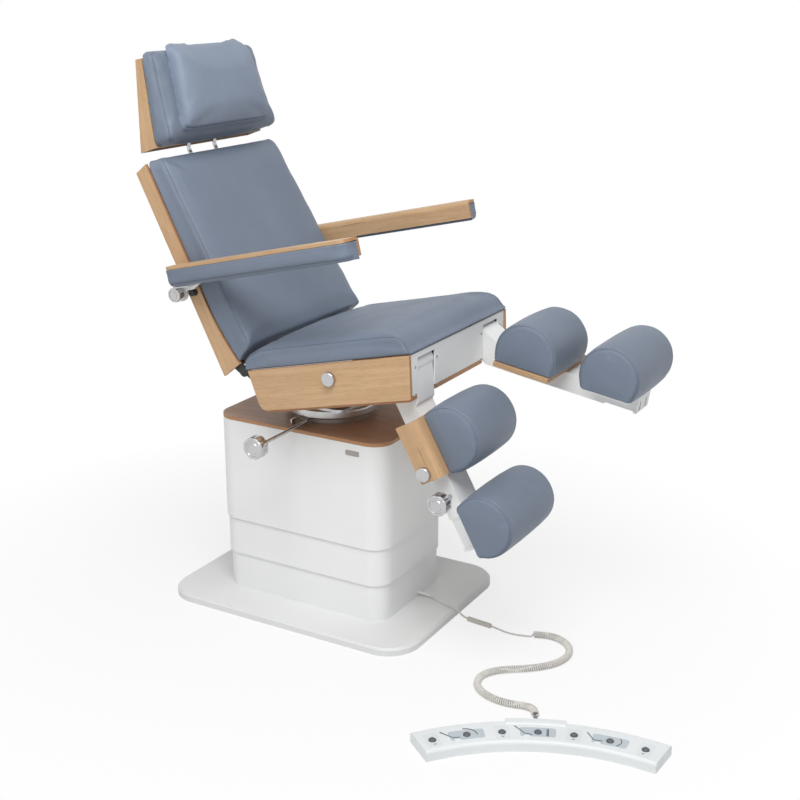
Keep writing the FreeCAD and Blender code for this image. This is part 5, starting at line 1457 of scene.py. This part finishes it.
def make_control_face():
    """Plates, grey fields and plain line signs of the foot control."""
    pieces = {"control_signs": [], "control_sign_blocks": []}
    pieces["control_plates"] = [pierced_plate(index, *SMALL_PLATE) for index in ARROW_RISES]
    pieces["control_fields"] = [pierced_plate(index, *WIDE_FIELD) for index in CONTROL_SIGNS]
    outline = plate_ring(0.0075, 0.0065, 0.4, 24)
    for index, rows in CONTROL_SIGNS.items():
        angle = BUTTON_ANGLES[index]
        pieces["control_signs"] += [drawn_line(angle, row, SIGN_LINE) for row in rows]
        for x, y, size in SIGN_BLOCKS:
            shape = [(x + size * a, y + size * b) for a, b in outline]
            pieces["control_sign_blocks"].append(
                plate_mesh("block", [(shape, height) for height in (0.0, 0.0009)], on_control(angle)))
    for index, rise in ARROW_RISES.items():
        arrow = [(-0.004, -0.0185 - rise), (0, -0.0185 + rise), (0.004, -0.0185 - rise)]
        pieces["control_signs"].append(drawn_line(BUTTON_ANGLES[index], arrow, SIGN_THIN_LINE))
    looks = {
        "control_plates": ("white_plastic", "control_plate", shaded(tuple(colours().housing), 0.95), 0.32),
        "control_fields": ("grey_plastic", "control_field", tuple(colours().control_pad), 0.42),
        "control_signs": ("dark_plastic", "sign_print", (0.09, 0.1, 0.115), 0.5),
        "control_sign_blocks": ("white_plastic", "sign_white", (0.84, 0.85, 0.86), 0.4),
    }
    for name, (slot, finish, colour, roughness) in looks.items():
        piece = link(name, joined(name, pieces[name]))
        settle(piece, "base", slot, plastic_finish(finish, colour, roughness))


# Stage


def white_rays(tree):
    """One for what the camera, gloss and glass see, and nought for the room's own light."""
    path = add_node(tree, "ShaderNodeLightPath").outputs
    seen = sum_up(tree, "MAXIMUM", path["Is Camera Ray"], path["Is Glossy Ray"])
    return sum_up(tree, "MAXIMUM", seen, path["Is Transmission Ray"])


def build_world():
    world = bpy.data.worlds.new("white_room")
    bpy.context.scene.world = world
    world.use_nodes = True
    tree = world.node_tree
    tree.nodes.clear()
    room = add_node(tree, "ShaderNodeBackground", {"Color": (1, 1, 1, 1)})
    room.inputs["Strength"].default_value = bpy.context.scene.chair_studio.ambient
    seen = add_node(tree, "ShaderNodeBackground", {"Color": (1, 1, 1, 1)})
    seen.inputs["Strength"].default_value = 1.0
    mix = add_node(tree, "ShaderNodeMixShader", {0: white_rays(tree), 1: room.outputs[0], 2: seen.outputs[0]})
    output = add_node(tree, "ShaderNodeOutputWorld")
    tree.links.new(mix.outputs[0], output.inputs["Surface"])


def build_floor():
    """Wide pale floor that turns into the white background away from the chair."""
    material = bpy.data.materials.new("studio_floor")
    material.use_nodes = True
    tree = material.node_tree
    tree.nodes.clear()
    plain = add_node(tree, "ShaderNodeBsdfDiffuse", {"Color": (0.86, 0.86, 0.86, 1)})
    bright = add_node(tree, "ShaderNodeEmission", {"Color": (1, 1, 1, 1)})
    bright.inputs["Strength"].default_value = 1.0
    place = add_node(tree, "ShaderNodeTexCoord").outputs["Object"]
    away = add_node(tree, "ShaderNodeVectorMath", {0: place}, operation="LENGTH").outputs["Value"]
    share = spread(tree, away, 0.3, 1.45, 0.7, 1.0)
    factor = sum_up(tree, "MULTIPLY", share, white_rays(tree))
    mix = add_node(tree, "ShaderNodeMixShader", {0: factor, 1: plain.outputs[0], 2: bright.outputs[0]})
    output = add_node(tree, "ShaderNodeOutputMaterial")
    tree.links.new(mix.outputs[0], output.inputs["Surface"])
    mesh = bpy.data.meshes.new("floor")
    turns = [2 * math.pi * step / FLOOR_SIDES for step in range(FLOOR_SIDES)]
    edge = [(FLOOR_RADIUS * math.cos(turn), FLOOR_RADIUS * math.sin(turn), 0.0) for turn in turns]
    mesh.from_pydata(edge, [], [tuple(range(FLOOR_SIDES))])
    floor = link("floor", mesh)
    mesh.materials.append(material)
    floor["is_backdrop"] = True


def aim(place, target):
    """Matrix of a lamp or camera at a place that looks at a target."""
    way = Vector(target) - Vector(place)
    return Matrix.Translation(place) @ way.to_track_quat("-Z", "Y").to_matrix().to_4x4()


def build_lamp(name, watts, place, target, size):
    data = bpy.data.lights.new(name, "AREA")
    data.shape = "RECTANGLE"
    data.size, data.size_y = size
    data.energy = watts
    lamp = bpy.data.objects.new(name, data)
    lamp.matrix_world = aim(place, target)
    bpy.context.scene.collection.objects.link(lamp)


def build_camera():
    data = bpy.data.cameras.new("photo_camera")
    data.lens = bpy.context.scene.chair_studio.lens
    data.sensor_width = 36.0
    camera = bpy.data.objects.new("photo_camera", data)
    place = Vector(CAMERA_PLACE)
    camera.matrix_world = aim(place, place + Vector(CAMERA_WAY))
    bpy.context.scene.collection.objects.link(camera)
    bpy.context.scene.camera = camera


def build_stage():
    kept = set(frame["nodes"].values()) | set(frame["bodies"].values())
    for piece in [piece for piece in bpy.data.objects if piece not in kept]:
        bpy.data.objects.remove(piece)
    bpy.context.scene.view_settings.view_transform = "Standard"
    studio = bpy.context.scene.chair_studio
    build_camera()
    build_world()
    build_floor()
    build_lamp("key_lamp", studio.key_power, **KEY_LAMP)
    build_lamp("fill_lamp", studio.fill_power, **FILL_LAMP)


# Operators and panel


class PODIATRY_OT_stage(bpy.types.Operator):
    """Build the floor, room, lamps and camera."""

    bl_idname = "podiatry.stage"
    bl_label = "Stage"

    def execute(self, context):
        build_stage()
        return {"FINISHED"}


class PODIATRY_OT_cords(bpy.types.Operator):
    """Lay the thin cord and the curly cord of the foot control."""

    bl_idname = "podiatry.cords"
    bl_label = "Cords"

    def execute(self, context):
        lay_cords()
        return {"FINISHED"}


class PODIATRY_OT_wood(bpy.types.Operator):
    """Finish the oak boards and their plywood edges."""

    bl_idname = "podiatry.wood"
    bl_label = "Oak boards"

    def execute(self, context):
        finish_wood()
        return {"FINISHED"}


class PODIATRY_OT_metal(bpy.types.Operator):
    """Finish the painted, turned and chromed steel."""

    bl_idname = "podiatry.metal"
    bl_label = "Steel parts"

    def execute(self, context):
        finish_metal()
        return {"FINISHED"}


class PODIATRY_OT_plastic(bpy.types.Operator):
    """Finish the mouldings of the foot control and the cord fittings."""

    bl_idname = "podiatry.plastic"
    bl_label = "Mouldings"

    def execute(self, context):
        finish_plastic()
        return {"FINISHED"}


class PODIATRY_OT_seat_cushion(bpy.types.Operator):
    """Make the seat cushion with its seams and stitches."""

    bl_idname = "podiatry.seat_cushion"
    bl_label = "Seat cushion"

    def execute(self, context):
        make_seat_cushion()
        return {"FINISHED"}


class PODIATRY_OT_back_cushion(bpy.types.Operator):
    """Make the backrest cushion with its seams and stitches."""

    bl_idname = "podiatry.back_cushion"
    bl_label = "Backrest cushion"

    def execute(self, context):
        make_back_cushion()
        return {"FINISHED"}


class PODIATRY_OT_head_pads(bpy.types.Operator):
    """Make the headrest cushion and the neck pillow."""

    bl_idname = "podiatry.head_pads"
    bl_label = "Headrest cushion and pillow"

    def execute(self, context):
        make_head_pads()
        return {"FINISHED"}


class PODIATRY_OT_arm_pads(bpy.types.Operator):
    """Make the pads of both armrests."""

    bl_idname = "podiatry.arm_pads"
    bl_label = "Armrest pads"

    def execute(self, context):
        make_arm_pads()
        return {"FINISHED"}


class PODIATRY_OT_leg_pads(bpy.types.Operator):
    """Make the calf and foot pads of both leg rests."""

    bl_idname = "podiatry.leg_pads"
    bl_label = "Calf and foot pads"

    def execute(self, context):
        make_leg_pads()
        return {"FINISHED"}


class PODIATRY_OT_front_screws(bpy.types.Operator):
    """Put the socket screws on the white front plate."""

    bl_idname = "podiatry.front_screws"
    bl_label = "Front plate screws"

    def execute(self, context):
        make_front_screws()
        return {"FINISHED"}


class PODIATRY_OT_boot(bpy.types.Operator):
    """Put the boot round the thin cord."""

    bl_idname = "podiatry.boot"
    bl_label = "Cord boot"

    def execute(self, context):
        make_cord_boot()
        return {"FINISHED"}


class PODIATRY_OT_knob_covers(bpy.types.Operator):
    """Put the round grips on the clamping knobs."""

    bl_idname = "podiatry.knob_covers"
    bl_label = "Knob grips"

    def execute(self, context):
        make_knob_covers()
        return {"FINISHED"}


class PODIATRY_OT_badge(bpy.types.Operator):
    """Put the bare plate on the pedestal."""

    bl_idname = "podiatry.badge"
    bl_label = "Pedestal plate"

    def execute(self, context):
        make_badge()
        return {"FINISHED"}


class PODIATRY_OT_control_face(bpy.types.Operator):
    """Make the plates, fields and signs of the foot control."""

    bl_idname = "podiatry.control_face"
    bl_label = "Foot control face"

    def execute(self, context):
        make_control_face()
        return {"FINISHED"}


class PODIATRY_PT_panel(bpy.types.Panel):
    """Steps that dress the podiatry chair."""

    bl_label = "Podiatry chair"
    bl_idname = "PODIATRY_PT_panel"
    bl_space_type = "VIEW_3D"
    bl_region_type = "UI"
    bl_category = "Podiatry chair"

    def draw(self, context):
        for group in (context.scene.chair_sizes, context.scene.chair_colours, context.scene.chair_studio):
            box = self.layout.box()
            for name in group.__annotations__:
                box.prop(group, name)
        for step in STEPS:
            self.layout.operator(step.bl_idname)


STEPS = (
    PODIATRY_OT_stage, PODIATRY_OT_cords, PODIATRY_OT_wood, PODIATRY_OT_metal, PODIATRY_OT_plastic,
    PODIATRY_OT_seat_cushion, PODIATRY_OT_back_cushion, PODIATRY_OT_head_pads, PODIATRY_OT_arm_pads,
    PODIATRY_OT_leg_pads, PODIATRY_OT_front_screws, PODIATRY_OT_boot, PODIATRY_OT_knob_covers,
    PODIATRY_OT_badge, PODIATRY_OT_control_face,
)
GROUPS = {"chair_sizes": ChairSizes, "chair_colours": ChairColours, "chair_studio": ChairStudio}


def register():
    for name, group in GROUPS.items():
        bpy.utils.register_class(group)
        setattr(bpy.types.Scene, name, PointerProperty(type=group))
    for step in STEPS:
        bpy.utils.register_class(step)
    bpy.utils.register_class(PODIATRY_PT_panel)


def unregister():
    bpy.utils.unregister_class(PODIATRY_PT_panel)
    for step in reversed(STEPS):
        bpy.utils.unregister_class(step)
    for name, group in GROUPS.items():
        delattr(bpy.types.Scene, name)
        bpy.utils.unregister_class(group)


def plain(box):
    return [[float(value) for value in corner] for corner in box]


def main():
    register()
    bpy.ops.podiatry.stage()
    bpy.ops.podiatry.cords()
    bpy.ops.podiatry.wood()
    bpy.ops.podiatry.metal()
    bpy.ops.podiatry.plastic()
    bpy.ops.podiatry.seat_cushion()
    bpy.ops.podiatry.back_cushion()
    bpy.ops.podiatry.head_pads()
    bpy.ops.podiatry.arm_pads()
    bpy.ops.podiatry.leg_pads()
    bpy.ops.podiatry.front_screws()
    bpy.ops.podiatry.boot()
    bpy.ops.podiatry.knob_covers()
    bpy.ops.podiatry.badge()
    bpy.ops.podiatry.control_face()
    {"cad": plain(cad_box), "visual": plain(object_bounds())}


if __name__ == "__main__":
    main()
